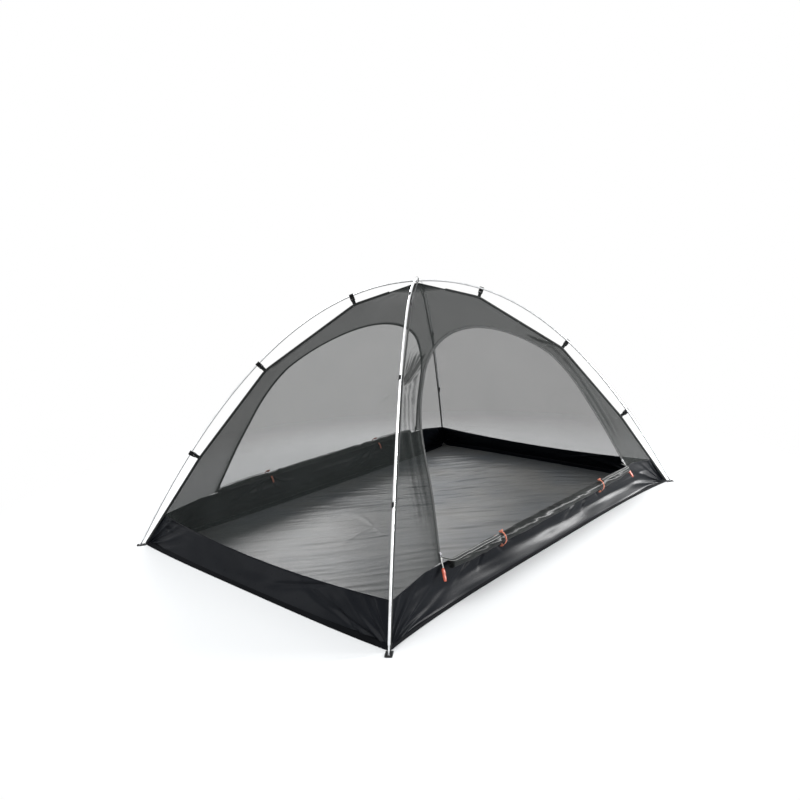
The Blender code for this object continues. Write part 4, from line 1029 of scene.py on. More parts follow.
wallLook = {
    "thickness": 0.0007, "foot": 0.0016, "depth": 0.0034, "count": 4, "slant": 0.9,
    "underNet": 0.0003, "doorColumns": 460, "endColumns": 340, "rows": 54, "evenShare": 0.45,
    "holdFoot": 0.12, "holdTop": 0.08,
    # pleats from the corners: waves, reach and share of the depth
    "pleatDepth": 0.0125, "pleats": ((24, 0.13, 1.0), (10, 0.28, 0.6)), "pleatPower": 2.5,
    "pleatLow": 1.3, "pleatStart": 0.04, "pleatWander": 0.05, "pleatWanderCell": 0.12,
    # a long shallow valley, which fades to the top and the corners
    "valleyDepth": 0.0160, "valleyFoot": (0.04, 0.49), "valleyTop": (0.05, 0.55),
    "valleyEnds": (0.10, 0.42), "valleyEven": 0.70, "valleyUneven": 0.30, "valleyCell": 0.34,
    # long folds: share of the height, half width and depth
    "longFolds": ((0.72, 0.009, 0.0034), (0.38, 0.013, 0.0036)),
    "longWander": 0.014, "longCell": 0.42, "swellCell": 0.26,
    # creases from each tie's foot: along, down, half width, depth
    "tieCreases": ((-0.30, -0.100, 0.007, 0.0065), (-0.13, -0.105, 0.006, 0.0050),
                   (0.15, -0.055, 0.006, 0.0050), (0.06, -0.080, 0.005, 0.0035)),
    "tieBow": 0.012,
    # creases over the end walls: from (along, height share) to (along, height share)
    "endCreases": ((-0.66, 0.10, -0.18, 0.80), (-0.60, 0.06, -0.36, 0.72), (-0.42, 0.90, -0.05, 0.25),
                   (0.66, 0.80, 0.36, 0.93), (0.66, 0.62, 0.30, 0.80), (0.64, 0.50, 0.40, 0.62)),
    "endWidth": 0.0075, "endDepth": 0.0060, "endBow": 0.006,
    # small wrinkles: stretch, cell and share
    "wrinkleDepth": 0.0012, "wrinkles": ((10, 0.030, 1.0), (6, 0.035, 0.5)), "wrinkleLean": (1.3, 0.1),
    "turnReach": 0.034, "turnRise": 0.0085, "turnBase": 0.0022, "turnRows": 9,
    "turnEnds": 0.06, "turnMitre": 0.9, "turnCloth": 0.03,
    # the darker, matte band along the wall's foot: its height, how far it stands out, its rows
    "darkFootHeight": 0.0115, "darkFootThickness": 0.0009, "darkFootRows": 5, "cutSlack": 1.1,
}
tieOffset = 0.380
wallSeeds = {side: 40 + index * 7 for index, side in enumerate(sides)}


def wallGrid(side, c, rise):
    # Points of a low wall at shares along it and up it, without its folds
    slope = slopes[side]
    look = wallLook
    across = slope["across"]
    out = tent["halfWidth"] if slope["door"] else tent["halfLength"]
    top = wallTop(side, c) - look["underNet"]
    low, high = shareAt(look["foot"]), shareAt(top)
    sag = (tent["sideSag"] if slope["door"] else -tent["endBulge"]) * (1 - c ** 4)
    place = c * ((low + (high - low) * rise) * across - lineLook["inset"])
    distance = (low * out - sag) * (1 - rise) + high * out * rise
    height = look["foot"] + (top - look["foot"]) * rise
    return place, distance, height


def cornerPleats(place, height, hold, seed):
    look = wallLook
    half = np.abs(place).max()
    folds = 0
    for sign in (-1, 1):
        dx, dz = place - sign * half, height
        r = np.hypot(dx, dz * look["pleatLow"])
        wander = look["pleatWander"] * softNoise(dx, dz, look["pleatWanderCell"], seed)
        angle = np.arctan2(dz * look["pleatLow"], -sign * dx) + wander
        grow = 1 - np.exp(-r / look["pleatStart"])
        for waves, reach, size in look["pleats"]:
            ripple = 1 - (0.5 + 0.5 * np.sin(waves * angle + seed)) ** look["pleatPower"]
            folds = folds + look["pleatDepth"] * size * hold * ripple * grow * np.exp(-r / reach)
    return folds


def doorWallFolds(c, rise, place, height, top, hold, edge, seed):
    look = wallLook
    folds = 0
    for sign in (-1, 1):
        foot = (sign * tieOffset, tent["sillHeight"])
        for along, down, width, depth in look["tieCreases"]:
            tip = (foot[0] + along, foot[1] + down)
            folds = folds + hold * crease(place, height, foot, tip, width, depth, look["tieBow"])
    valley = smoothStep(rise, *look["valleyFoot"]) * smoothStep(1 - rise, *look["valleyTop"])
    uneven = look["valleyUneven"] * softNoise(place, place * 0, look["valleyCell"], seed + 40)
    ends = smoothStep(1 - np.abs(c), *look["valleyEnds"])
    folds = folds + look["valleyDepth"] * valley * (look["valleyEven"] + uneven) * ends
    for index, (share, width, depth) in enumerate(look["longFolds"]):
        wander = look["longWander"] * softNoise(place, place * 0, look["longCell"], seed + 20 + index)
        line = share * top + wander
        swell = 0.5 + 0.5 * softNoise(place, place * 0, look["swellCell"], seed + 30 + index)
        folds = folds + depth * np.exp(-((height - line) / width) ** 2) * swell * edge
    return folds


def wallFolds(side, c, rise, place, height, seed):
    # All folds go inwards from the wall's plane, so that the rolled door has its room.
    look = wallLook
    edge = np.sin(math.pi * rise) * np.sqrt(np.clip(1 - c ** 2, 0, 1))
    hold = smoothStep(rise, 0, look["holdFoot"]) * smoothStep(1 - rise, 0, look["holdTop"])
    slanted = np.abs(c) - look["slant"] * rise / look["count"]
    wave = 0.5 - 0.5 * np.cos(2 * math.pi * look["count"] * slanted)
    folds = look["depth"] * edge * (0.5 + 0.5 * wave) + cornerPleats(place, height, hold, seed)
    if slopes[side]["door"]:
        folds = folds + doorWallFolds(c, rise, place, height, wallTop(side, c), hold, edge, seed)
    else:
        for x0, share0, x1, share1 in look["endCreases"]:
            start, end = (x0, share0 * tent["cornerHeight"]), (x1, share1 * tent["cornerHeight"])
            folds = folds + hold * crease(place, height, start, end, look["endWidth"],
                                          look["endDepth"], look["endBow"])
    (stretch, cell, share), (stretch2, cell2, share2) = look["wrinkles"]
    leanHeight, leanPlace = look["wrinkleLean"]
    wrinkle = share * softNoise(place / stretch + height, height, cell, seed + 5)
    wrinkle = wrinkle + share2 * softNoise(place / stretch2, height * leanHeight + place * leanPlace,
                                           cell2, seed + 6)
    return folds + look["wrinkleDepth"] * (wrinkle + 1) * edge


def placeWall(side, place, distance, height):
    sideX, sideY = sides[side]
    if slopes[side]["door"]:
        return np.stack([place, sideY * distance, height], -1)
    return np.stack([sideX * distance, place, height], -1)


def makeLowWall(side, seed):
    look = wallLook
    slope = slopes[side]
    t = np.linspace(-1, 1, look["doorColumns"] if slope["door"] else look["endColumns"])
    even = look["evenShare"]
    c = (even * t + (1 - even) * t * (1.5 - 0.5 * t ** 2))[None, :]
    full = float(wallTop(side, 0.0))
    rise = np.linspace(look["turnRise"] / full, 1, look["rows"])[:, None]
    c, rise = np.broadcast_arrays(c, rise)
    place, distance, height = wallGrid(side, c, rise)
    distance = distance - wallFolds(side, c, rise, place, height, seed)
    upright = placeWall(side, place, distance, height)
    # The cloth's foot turns in and lies on the floor's edge, narrower towards the corners.
    turn = np.linspace(0, math.pi / 2, look["turnRows"], endpoint=False)[:, None]
    outwards = np.abs(c[:1])
    reach = look["turnReach"] * smoothStep(1 - outwards, 0.0, look["turnEnds"]) * (1 - np.sin(turn))
    mitre = np.sign(c[:1]) * smoothStep(outwards, look["turnMitre"], 1)
    footHeight = look["turnBase"] + (height[:1] - look["turnBase"]) * (1 - np.cos(turn))
    foot = placeWall(side, place[:1] - mitre * reach, distance[:1] - reach, footHeight)
    points = np.vstack([foot, upright])
    uv = np.stack([points[..., 0] if slope["door"] else points[..., 1],
                   np.vstack([footHeight - look["turnCloth"], height])], -1)
    wall = gridMesh(f"lowWall_{side}", points, uv, "wallCloth", flip=facesOut[side])
    giveThickness(wall, look["thickness"])
    rideOn(wall, "tent", "black_wall_cloth", f"bathtub_wall_{side}")

    # A darker, matte band along the wall's foot, standing just outside the wall's cloth
    rise = np.linspace(0, 1, look["darkFootRows"])[:, None] * look["darkFootHeight"] / full
    c, rise = np.broadcast_arrays(c[:1], rise)
    place, distance, height = wallGrid(side, c, rise)
    folds = wallFolds(side, c, np.full_like(rise, look["turnRise"] / full), place, height, seed)
    distance = distance - folds * rise / rise.max() + look["darkFootThickness"]
    points = placeWall(side, place, distance, height)
    hem = gridMesh(f"wallDarkFoot_{side}", points, np.stack([place, height], -1), "darkFootCloth",
                   flip=facesOut[side])
    giveThickness(hem, look["darkFootThickness"])
    rideOn(hem, "tent", "black_wall_cloth")


# What repeats along a line: stitches and zip teeth

beadLook = {"Segments": 6, "Rings": 4, "Radius": 0.5}


def makeRepeatTree():
    tree = bpy.data.node_groups.new("repeatAlongLine", "GeometryNodeTree")
    tree.interface.new_socket("Geometry", in_out="INPUT", socket_type="NodeSocketGeometry")
    for label in ("Spacing", "Length", "Width", "Height", "Lift"):
        tree.interface.new_socket(label, in_out="INPUT", socket_type="NodeSocketFloat")
    tree.interface.new_socket("Material", in_out="INPUT", socket_type="NodeSocketMaterial")
    tree.interface.new_socket("Geometry", in_out="OUTPUT", socket_type="NodeSocketGeometry")
    given = addNode(tree, "NodeGroupInput").outputs
    facing = addNode(tree, "GeometryNodeInputNamedAttribute", {"Name": "facing"})
    facing.data_type = "FLOAT_VECTOR"
    curve = addNode(tree, "GeometryNodeMeshToCurve", {"Mesh": given["Geometry"]})
    even = tree.nodes.new("GeometryNodeResampleCurve")
    even.mode = "LENGTH"
    fill(tree, even, {"Curve": curve.outputs["Curve"], "Length": given["Spacing"]})
    tangent = addNode(tree, "GeometryNodeInputTangent")
    turnAlong = addNode(tree, "FunctionNodeAlignRotationToVector", {"Vector": tangent.outputs[0]})
    turnAlong.axis = "X"
    turnOut = addNode(tree, "FunctionNodeAlignRotationToVector", {
        "Rotation": turnAlong.outputs[0], "Vector": facing.outputs["Attribute"]})
    turnOut.axis = "Z"
    turnOut.pivot_axis = "X"
    size = addNode(tree, "ShaderNodeCombineXYZ", {
        "X": given["Length"], "Y": given["Width"], "Z": given["Height"]})
    ball = addNode(tree, "GeometryNodeMeshUVSphere", beadLook)
    shape = addNode(tree, "GeometryNodeTransform", {
        "Geometry": ball.outputs["Mesh"], "Scale": size.outputs[0]})
    points = addNode(tree, "GeometryNodeInstanceOnPoints", {
        "Points": even.outputs["Curve"], "Instance": shape.outputs["Geometry"],
        "Rotation": turnOut.outputs[0]})
    stand = tree.nodes.new("ShaderNodeVectorMath")
    stand.operation = "SCALE"
    fill(tree, stand, {0: facing.outputs["Attribute"], "Scale": given["Lift"]})
    move = addNode(tree, "GeometryNodeSetPosition", {
        "Geometry": points.outputs["Instances"], "Offset": stand.outputs["Vector"]})
    real = addNode(tree, "GeometryNodeRealizeInstances", {"Geometry": move.outputs["Geometry"]})
    paint = addNode(tree, "GeometryNodeSetMaterial", {
        "Geometry": real.outputs["Geometry"], "Material": given["Material"]})
    addNode(tree, "NodeGroupOutput", {"Geometry": paint.outputs["Geometry"]})
    return tree


repeatTree = makeRepeatTree()


def repeatAlong(name, lines, material, spacing, size, lift, body="tent", slot="black_binding"):
    # Small rounded bodies at even steps along lines of (points, facing directions)
    verts, edges, facings = [], [], []
    for points, facing in lines:
        start = len(verts)
        verts += np.asarray(points, float).tolist()
        facings.append(np.broadcast_to(unit(np.asarray(facing, float)), (len(points), 3)))
        edges += [(start + i, start + i + 1) for i in range(len(points) - 1)]
    mesh = bpy.data.meshes.new(name)
    mesh.from_pydata(verts, edges, [])
    attribute = mesh.attributes.new("facing", "FLOAT_VECTOR", "POINT")
    attribute.data.foreach_set("vector", np.concatenate(facings).astype(np.float32).ravel())
    obj = bpy.data.objects.new(name, mesh)
    bpy.context.scene.collection.objects.link(obj)
    modifier = obj.modifiers.new("repeat", "NODES")
    modifier.node_group = repeatTree
    values = {"Spacing": spacing, "Length": size[0], "Width": size[1], "Height": size[2], "Lift": lift,
              "Material": materials[material]}
    for item in repeatTree.interface.items_tree:
        if item.in_out == "INPUT" and item.name in values:
            modifier[item.identifier] = values[item.name]
    applyModifiers(obj)
    obj.data.shade_smooth()
    return rideOn(obj, body, slot)


# Ridge bindings, their webbing tabs, straps and the apex tie

bindingLook = {
    "fin": 0.0056, "half": 0.0036, "step": 0.012, "start": 0.0058,
    "stitchIn": 0.0030, "stitchSide": 0.82, "stitchSpacing": 0.0046, "stitchLift": 0.0001,
    "stitchSize": (0.0030, 0.0006, 0.0005),
    "crown": (0.0024, 0.0020), "crownShares": (0.998, 0.03, 10),
}
# a webbing tab: folded round the hook's bar, with two rows of stitches behind it
tabLook = {
    "width": 0.0150, "thickness": 0.0011, "eye": 0.0033, "eyeTurn": 150, "eyeSteps": 18,
    "overlap": 0.004, "gap": 0.0009, "middle": 0.6, "neck": (0.0050, 0.0011),
    "stitchRows": (-0.0062, -0.0072), "stitchOut": 0.0016, "stitchHalf": 0.40,
    "stitchSpacing": 0.0016, "stitchSize": (0.0013, 0.0005, 0.0004),
}


def makeBinding(corner):
    look = bindingLook
    sideX, sideY = corners[corner]
    low = np.array([shareAt(look["start"]), look["start"]])
    stations = [low] + [np.array([ridgeShare[i], ridge[i, 1]]) for i in (1, 2, 3)]
    stations.append(np.array([patchTop[0] / halfDiagonal, patchTop[1]]))
    path = ease(resample([ridgePoint(*s, sideX, sideY) for s in stations], look["step"]), 2)
    outward = cornerOut(corner)
    along = unit(np.gradient(path, axis=0))
    up = np.array([0, 0, 1.0])
    out = unit(outward * along[:, 2:] - up * np.sum(along * outward, axis=1, keepdims=True))
    binding = sweep(f"ridgeBinding_{corner}", path, out, ellipse(look["half"], look["fin"]), "binding")
    rideOn(binding, "tent", "black_binding", f"ridge_binding_{corner}")
    top = np.array([ridgePoint(patchTop[0] / halfDiagonal * share,
                               ridge[-1, 1] + (patchTop[1] - ridge[-1, 1]) * share, sideX, sideY)
                    for share in np.linspace(*look["crownShares"])])
    crown = sweep(f"crownSeam_{corner}", top, (0, 0, 1.0), ellipse(*look["crown"]), "binding")
    rideOn(crown, "tent", "black_binding")
    side = np.cross(out, along)
    lines = []
    for sign in (-1, 1):
        flank = path + side * sign * look["half"] * look["stitchSide"]
        lines.append((flank + out * look["stitchIn"], side * sign))
    repeatAlong(f"ridgeStitches_{corner}", lines, "thread", look["stitchSpacing"], look["stitchSize"],
                look["stitchLift"])
    for index in (1, 2, 3):
        makeTab(corner, index)


def makeTab(corner, index):
    look = tabLook
    bar, axis = hingeOf(f"pole_hook_{corner}_{index}")
    bend = ridgePoint(ridgeShare[index], ridge[index, 1], *corners[corner])
    lowBox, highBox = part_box(f"pole_hook_{corner}_{index}")
    reachOut = squareTo(axis, np.array((lowBox + highBox) / 2) - bar)
    across = np.cross(axis, reachOut)
    length = float(np.dot(bar - bend, reachOut))
    neck, neckGap = look["neck"]
    leg = [(-length - look["overlap"], look["gap"]), (-length * look["middle"], look["gap"]),
           (-neck, neckGap)]
    turn = np.linspace(math.radians(look["eyeTurn"]), math.radians(-look["eyeTurn"]), look["eyeSteps"])
    eye = [(look["eye"] * math.cos(a), look["eye"] * math.sin(a)) for a in turn]
    loop = np.array(leg + eye + [(u, -w) for u, w in reversed(leg)])
    line = bar + reachOut * loop[:, :1] + across * loop[:, 1:]
    tangent = unit(np.gradient(line, axis=0))
    tab = sweep(f"hookTab_{corner}_{index}", line, np.cross(tangent, axis),
                flatBand(look["width"], look["thickness"]), "webbing")
    rideOn(tab, "tent", "black_binding")
    bars = []
    half = axis * look["width"] * look["stitchHalf"]
    for row in look["stitchRows"]:
        for sign in (-1, 1):
            middle = bar + reachOut * row + across * sign * look["stitchOut"]
            bars.append((np.array([middle - half, middle + half]), across * sign))
    repeatAlong(f"tabStitches_{corner}_{index}", bars, "thread", look["stitchSpacing"],
                look["stitchSize"], 0.0)


hookLook = {
    "reach": 0.020, "hold": 0.00455, "wall": 0.0022, "lip": 0.0025, "eyeRoom": 0.0047,
    "stemIn": -0.0058, "stemOut": 0.0050, "shoulder": 0.0125, "bar": 0.0015, "cheekRadius": 0.0044,
    "slotHalf": 0.0079, "halfWidth": 0.0096, "barInset": 0.0004, "cheekInset": 0.0002,
    "roundEdge": 0.0004, "roundSegments": 2,
}


def arcPoints(centre, radius, start, end, steps):
    return [(centre + radius * math.cos(a), radius * math.sin(a))
            for a in np.linspace(math.radians(start), math.radians(end), steps)]


def hookParts(look):
    # Outlines of (out from the bar, towards the mouth), each with the levels it stands between
    near, far = look["reach"] - look["hold"], look["reach"] + look["hold"]
    stemAngle = math.degrees(math.asin(look["stemOut"] / near))
    lipAngle = math.degrees(math.asin(look["lip"] / far))
    block = arcPoints(0, near, stemAngle, 0, 5)
    block += arcPoints(look["reach"], look["hold"], 180, 360, 14)[1:]
    block += arcPoints(0, far, 0, lipAngle, 3)[1:] + arcPoints(0, far + look["wall"], lipAngle, 0, 3)
    block += arcPoints(look["reach"], look["hold"] + look["wall"], 360, 225, 12)[1:]
    block += [(look["shoulder"], look["stemIn"]), (look["eyeRoom"], look["stemIn"]),
              (look["eyeRoom"], look["stemOut"])]
    cheek = arcPoints(0, look["cheekRadius"], 90, 270, 10)
    cheek += [(look["shoulder"], look["stemIn"]), (look["shoulder"], look["stemOut"])]
    bar = arcPoints(0, look["bar"], 0, 330, 12)
    slot, wide = look["slotHalf"], look["halfWidth"]
    return [(block, -wide, wide), (bar, -wide + look["barInset"], wide - look["barInset"]),
            (cheek, slot, wide - look["cheekInset"]), (cheek, -wide + look["cheekInset"], -slot)]


def makeHook(corner, index):
    # A moulded hook: its bar sits in the webbing's eye, and the pole snaps into its round mouth
    look = hookLook
    sideX, sideY = corners[corner]
    body = f"pole_hook_{corner}_{index}"
    bar, axis = hingeOf(body)
    outward = squareTo(axis, bar - ridgePoint(ridgeShare[index], ridge[index, 1], sideX, sideY))
    mouth = np.cross(axis, outward)
    if mouth[1] * sideY < 0:
        mouth = -mouth
    verts, faces = [], []
    for outline, low, high in hookParts(look):
        first, count = len(verts), len(outline)
        for level in (low, high):
            verts += [(bar + outward * u + mouth * w + axis * level).tolist() for u, w in outline]
        faces.append(list(range(first, first + count)))
        faces.append(list(range(first + count, first + 2 * count)))
        for i in range(count):
            j = (i + 1) % count
            faces.append([first + i, first + j, first + count + j, first + count + i])
    mesh = bpy.data.meshes.new(body)
    mesh.from_pydata(verts, [], faces)
    cleanMesh(mesh, outwards=True)
    hook = newObject(f"moulded_{body}", mesh, "hookPlastic")
    bevel = hook.modifiers.new("roundEdges", "BEVEL")
    bevel.width = look["roundEdge"]
    bevel.segments = look["roundSegments"]
    bevel.angle_limit = sharpAngle
    applyModifiers(hook)
    hook.data.shade_smooth()
    hook.data.set_sharp_from_angle(angle=sharpAngle)
    rideOn(hook, body, "black_plastic", body)


strapLook = {
    "width": 0.0245, "thickness": 0.0014, "height": 0.0013, "inner": 0.9828, "tail": 0.0155,
    "edge": 0.0002, "corner": 0.004, "cornerShare": 0.3, "hole": 0.0066, "holeSides": 28,
    "merge": 0.00001,
    "stitchShares": (0.9850, 0.9912), "stitchSide": 0.8, "stitchSpacing": 0.0030, "stitchLift": 0.0001,
    "stitchSize": (0.0021, 0.0006, 0.0005),
}
# a metal ring's section: (distance from its hole or its outer edge, height)
grommetLook = {
    "inner": 0.0044, "outer": 0.0093, "sides": 40,
    "foot": ((0, 0.0002), (0.0006, 0.0)), "lowEdge": (0.0002, 0.0005),
    "neck": ((0.0010, 0.0006), (0.0010, 0.0021)), "highEdge": (0.0022, 0.0026),
    "head": ((0.0012, 0.0030), (0.0003, 0.0027), (0, 0.0020)),
}


def strapMesh(name, look, out, across):
    # The strap's outline with its hole, filled and given rounded edges, lying at the corner
    half, soft = look["width"] / 2, look["corner"]
    start, end = look["inner"] * halfDiagonal, halfDiagonal + look["tail"]
    curve = bpy.data.curves.new(name, "CURVE")
    curve.dimensions = "2D"
    curve.fill_mode = "BOTH"
    curve.extrude = look["thickness"] / 2 - look["edge"]
    curve.bevel_depth = look["edge"]
    curve.bevel_resolution = 1
    cut = soft * look["cornerShare"]
    ring = [(start, -half), (end - soft, -half), (end - cut, -half + cut), (end, -half + soft),
            (end, half - soft), (end - cut, half - cut), (end - soft, half), (start, half)]
    hole = [(halfDiagonal + look["hole"] * math.cos(a), look["hole"] * math.sin(a))
            for a in fullTurn(look["holeSides"])]
    for outline in (ring, hole):
        spline = curve.splines.new("POLY")
        spline.points.add(len(outline) - 1)
        for knot, (x, y) in zip(spline.points, outline):
            knot.co = (x, y, 0, 1)
        spline.use_cyclic_u = True
    guide = bpy.data.objects.new(name, curve)
    bpy.context.scene.collection.objects.link(guide)
    bpy.context.view_layer.update()
    mesh = bpy.data.meshes.new_from_object(guide.evaluated_get(bpy.context.evaluated_depsgraph_get()))
    bpy.data.objects.remove(guide)
    cleanMesh(mesh, merge=look["merge"])
    flat = np.array([vert.co[:2] for vert in mesh.vertices])
    mesh.transform(Matrix.Translation((0, 0, look["height"]))
                   @ Matrix((out, across, (0, 0, 1))).transposed().to_4x4())
    while mesh.uv_layers:
        mesh.uv_layers.remove(mesh.uv_layers[0])
    setUv(mesh, flat)
    mesh.shade_flat()
    return mesh


def makeGrommet(corner, middle):
    look = grommetLook
    inner, outer = look["inner"], look["outer"]
    profile = [(inner + r, z) for r, z in look["foot"]] + [(outer, z) for z in look["lowEdge"]]
    profile += [(inner + r, z) for r, z in look["neck"]] + [(outer, z) for z in look["highEdge"]]
    profile += [(inner + r, z) for r, z in look["head"]]
    turn = fullTurn(look["sides"])
    points = np.array([[(middle[0] + r * math.cos(a), middle[1] + r * math.sin(a), z)
                        for a in turn] for r, z in profile + profile[:1]])
    closed = np.concatenate([points, points[:, :1]], axis=1)
    grommet = gridMesh(f"grommet_{corner}", closed, np.zeros((*closed.shape[:2], 2)), "grommetMetal")
    cleanMesh(grommet.data, merge=strapLook["merge"], outwards=True)
    rideOn(grommet, "tent", "dark_slider_metal")


def makeStrap(corner):
    look = strapLook
    out = cornerOut(corner)
    across = np.cross([0, 0, 1.0], out)
    mesh = strapMesh(f"strap_{corner}", look, out, across)
    strap = newObject(f"cornerStrap_{corner}", mesh, "webbing")
    rideOn(strap, "tent", "black_webbing", f"corner_strap_{corner}")
    makeGrommet(corner, out * halfDiagonal)

    half = look["width"] / 2
    top = np.array([0, 0, look["height"] + look["thickness"] / 2])

    def spot(share, s):
        return out * share * halfDiagonal + across * s * half + top

    near, far = look["stitchShares"]
    s = look["stitchSide"]
    ends = [((near, -s), (near, s)), ((far, -s), (far, s)), ((near, -s), (far, -s)),
            ((near, s), (far, s))]
    lines = [(np.array([spot(*start), spot(*end)]), (0, 0, 1)) for start, end in ends]
    repeatAlong(f"strapStitches_{corner}", lines, "thread", look["stitchSpacing"], look["stitchSize"],
                look["stitchLift"], slot="black_webbing")


apexTieLook = {"radius": 0.0015, "sides": 10, "squareness": 0.75, "sway": 0.0006, "steps": 72}


def makeApexTie():
    # A soft cord round the crossing of the poles
    look = apexTieLook
    low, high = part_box("apex_tie")
    middle = (low + high) / 2
    radius, square = look["radius"], look["squareness"]
    halfY, halfZ = (high.y - low.y) / 2 - radius, (high.z - low.z) / 2 - radius
    turn = fullTurn(look["steps"])
    y = halfY * np.sign(np.cos(turn)) * np.abs(np.cos(turn)) ** square
    z = halfZ * np.sign(np.sin(turn)) * np.abs(np.sin(turn)) ** square
    x = look["sway"] * np.sin(3 * turn)
    path = np.stack([x, middle.y + y, middle.z + z], 1)
    path = np.vstack([path, path[:1]])
    along = unit(np.gradient(path, axis=0))
    outline = ellipse(radius, radius, look["sides"])
    tie = sweep("apexTie", path, np.cross(along, [1.0, 0, 0]), outline, "webbing")
    rideOn(tie, "tent", "black_webbing", "apex_tie")


# Poles

poleLook = {
    "sides": 20, "step": 0.024, "jointGap": 0.0003, "keepOff": 0.004, "merge": 0.00005,
    # (distance from the end, radius): the poles' own tips, and the ring beside each joint
    "tip": ((0, 0.0019), (0.0008, tent["tipRadius"]), (tent["tipLength"] - 0.001, tent["tipRadius"]),
            (tent["tipLength"], 0.0036), (tent["tipLength"] + 0.0007, tent["poleRadius"])),
    "ring": ((0.0, 0.0037), (0.0008, tent["poleRadius"]), (0.0160, tent["poleRadius"]),
             (0.0163, 0.00412), (0.0172, 0.00412), (0.0175, tent["poleRadius"])),
}


def poleProfile(start, end, count, first, last):
    # Marks along one section and the tube's radius at each
    look = poleLook
    full = tent["poleRadius"]
    marks = list(np.linspace(start, end - look["jointGap"], count))
    radii = [full] * count
    tip, tipRadii = zip(*look["tip"])
    if first:
        keep = [mark for mark in marks if mark > start + tip[-1] + look["keepOff"]]
        marks = [start + offset for offset in tip] + keep
        radii = list(tipRadii) + [full] * len(keep)
    if last:
        keep = [mark for mark in marks if mark < end - tip[-1] - look["keepOff"]]
        marks = keep + [end - offset for offset in reversed(tip)]
        radii = [full] * len(keep) + list(reversed(tipRadii))
    ends = [] if first else [(start, 1)]
    if not last:
        ends.append((end - look["jointGap"], -1))
    for edge, inwards in ends:
        for offset, radius in look["ring"]:
            marks.append(edge + inwards * offset)
            radii.append(radius)
    order = np.argsort(marks, kind="stable")
    marks, radii = np.array(marks)[order], np.array(radii)[order]
    keep = np.concatenate([[True], np.diff(marks) > look["merge"]])
    return marks[keep], radii[keep]


def makePoles():
    for letter, lift, corner in (("a", 1, "back_right"), ("b", -1, "front_right")):
        spacing = 2 * tent["poleRadius"] + tent["poleGap"]
        length, across, height = poleCurve(tent["crossing"] + lift * spacing / 2)
        direction = cornerOut(corner)
        sideways = np.cross(direction, [0, 0, 1.0])
        section = length[-1] / tent["sections"]
        count = int(section / poleLook["step"])
        for i in range(tent["sections"]):
            marks, radii = poleProfile(i * section, (i + 1) * section, count,
                                       i == 0, i == tent["sections"] - 1)
            path = direction * np.interp(marks, length, across)[:, None]
            path[:, 2] = np.interp(marks, length, height)
            pole = sweep(f"poleTube_{letter}{i + 1}", path, sideways,
                         ellipse(1.0, 1.0, poleLook["sides"]), "alloy", radii)
            rideOn(pole, "tent", "silver_alloy", f"pole_{letter}_section_{i + 1}")


# Zips

zipLook = {
    "samples": 300, "facingStep": 0.004, "tapeWidth": 0.0112, "tapeThickness": 0.0011,
    "toothSpacing": 0.0026, "toothSize": (0.0015, 0.0050, 0.0019), "toothLift": 0.0002,
    "stitchPlace": 0.40, "stitchOut": 0.0009, "stitchSpacing": 0.0048,
    "stitchSize": (0.0032, 0.0006, 0.0005),
}


def makeZip(side, seed):
    look = zipLook
    slope = slopes[side]
    line = doorLine(0.0, look["samples"])

    def onWall(flat, lift):
        c = flat[:, 0] / halfAcross(slope, flat[:, 1])
        return slopePoint(slope, c, flat[:, 1], broadSag(slope, flat[:, 0], flat[:, 1], seed) + lift)

    path = onWall(line, 0.0)
    facing = unit(onWall(line, look["facingStep"]) - path)
    tape = sweep(f"zipTape_{side}", path, facing,
                 flatBand(look["tapeWidth"], look["tapeThickness"]), "zipTape")
    rideOn(tape, "tent", "black_zip_tape", f"zip_track_{side}")
    repeatAlong(f"zipTeeth_{side}", [(path, facing)], "zipTeeth", look["toothSpacing"],
                look["toothSize"], look["toothLift"], slot="black_zip_tape")
    lines = []
    for sign in (1, -1):
        flat = doorLine(sign * look["tapeWidth"] * look["stitchPlace"], look["samples"])
        lines.append((onWall(flat, look["stitchOut"]), facing))
    repeatAlong(f"zipStitches_{side}", lines, "thread", look["stitchSpacing"], look["stitchSize"], 0.0)


pullLook = {
    # the wire loop's outline, as shares of its length and half width
    "loopLength": 0.009, "loopHalf": 0.0033, "loopSteps": 4, "wire": (0.0008, 0.0008, 8),
    "loop": ((0, -1), (0, 1), (0.55, 1), (0.9, 0.62), (1, 0), (0.9, -0.62), (0.55, -1)),
    "cordLength": 0.034, "cordSteps": 20, "cord": (0.0022, 0.0016, 10), "cordSway": 0.0012,
    "swayTurn": 5, "cordStart": 0.0008, "cordInTab": 0.004,
    "knotPlace": 0.0035, "knotSize": (0.0022, 0.0021, 0.0010), "knot": (0.0012, 0.0012, 8),
    "knotSteps": 26,
    # the moulded tab: distances from its top with its half widths
    "tab": ((0, 0.0027), (0.002, 0.0052), (0.004, 0.0068), (0.009, 0.0078), (0.016, 0.0081),
            (0.020, 0.0078), (0.0215, 0.0067), (0.023, 0.0077), (0.0245, 0.0066), (0.029, 0.0076),
            (0.036, 0.0074), (0.042, 0.0066), (0.0450, 0.0050), (0.046, 0.0022)),
    "tabSection": (1.0, 0.42, 16),
}


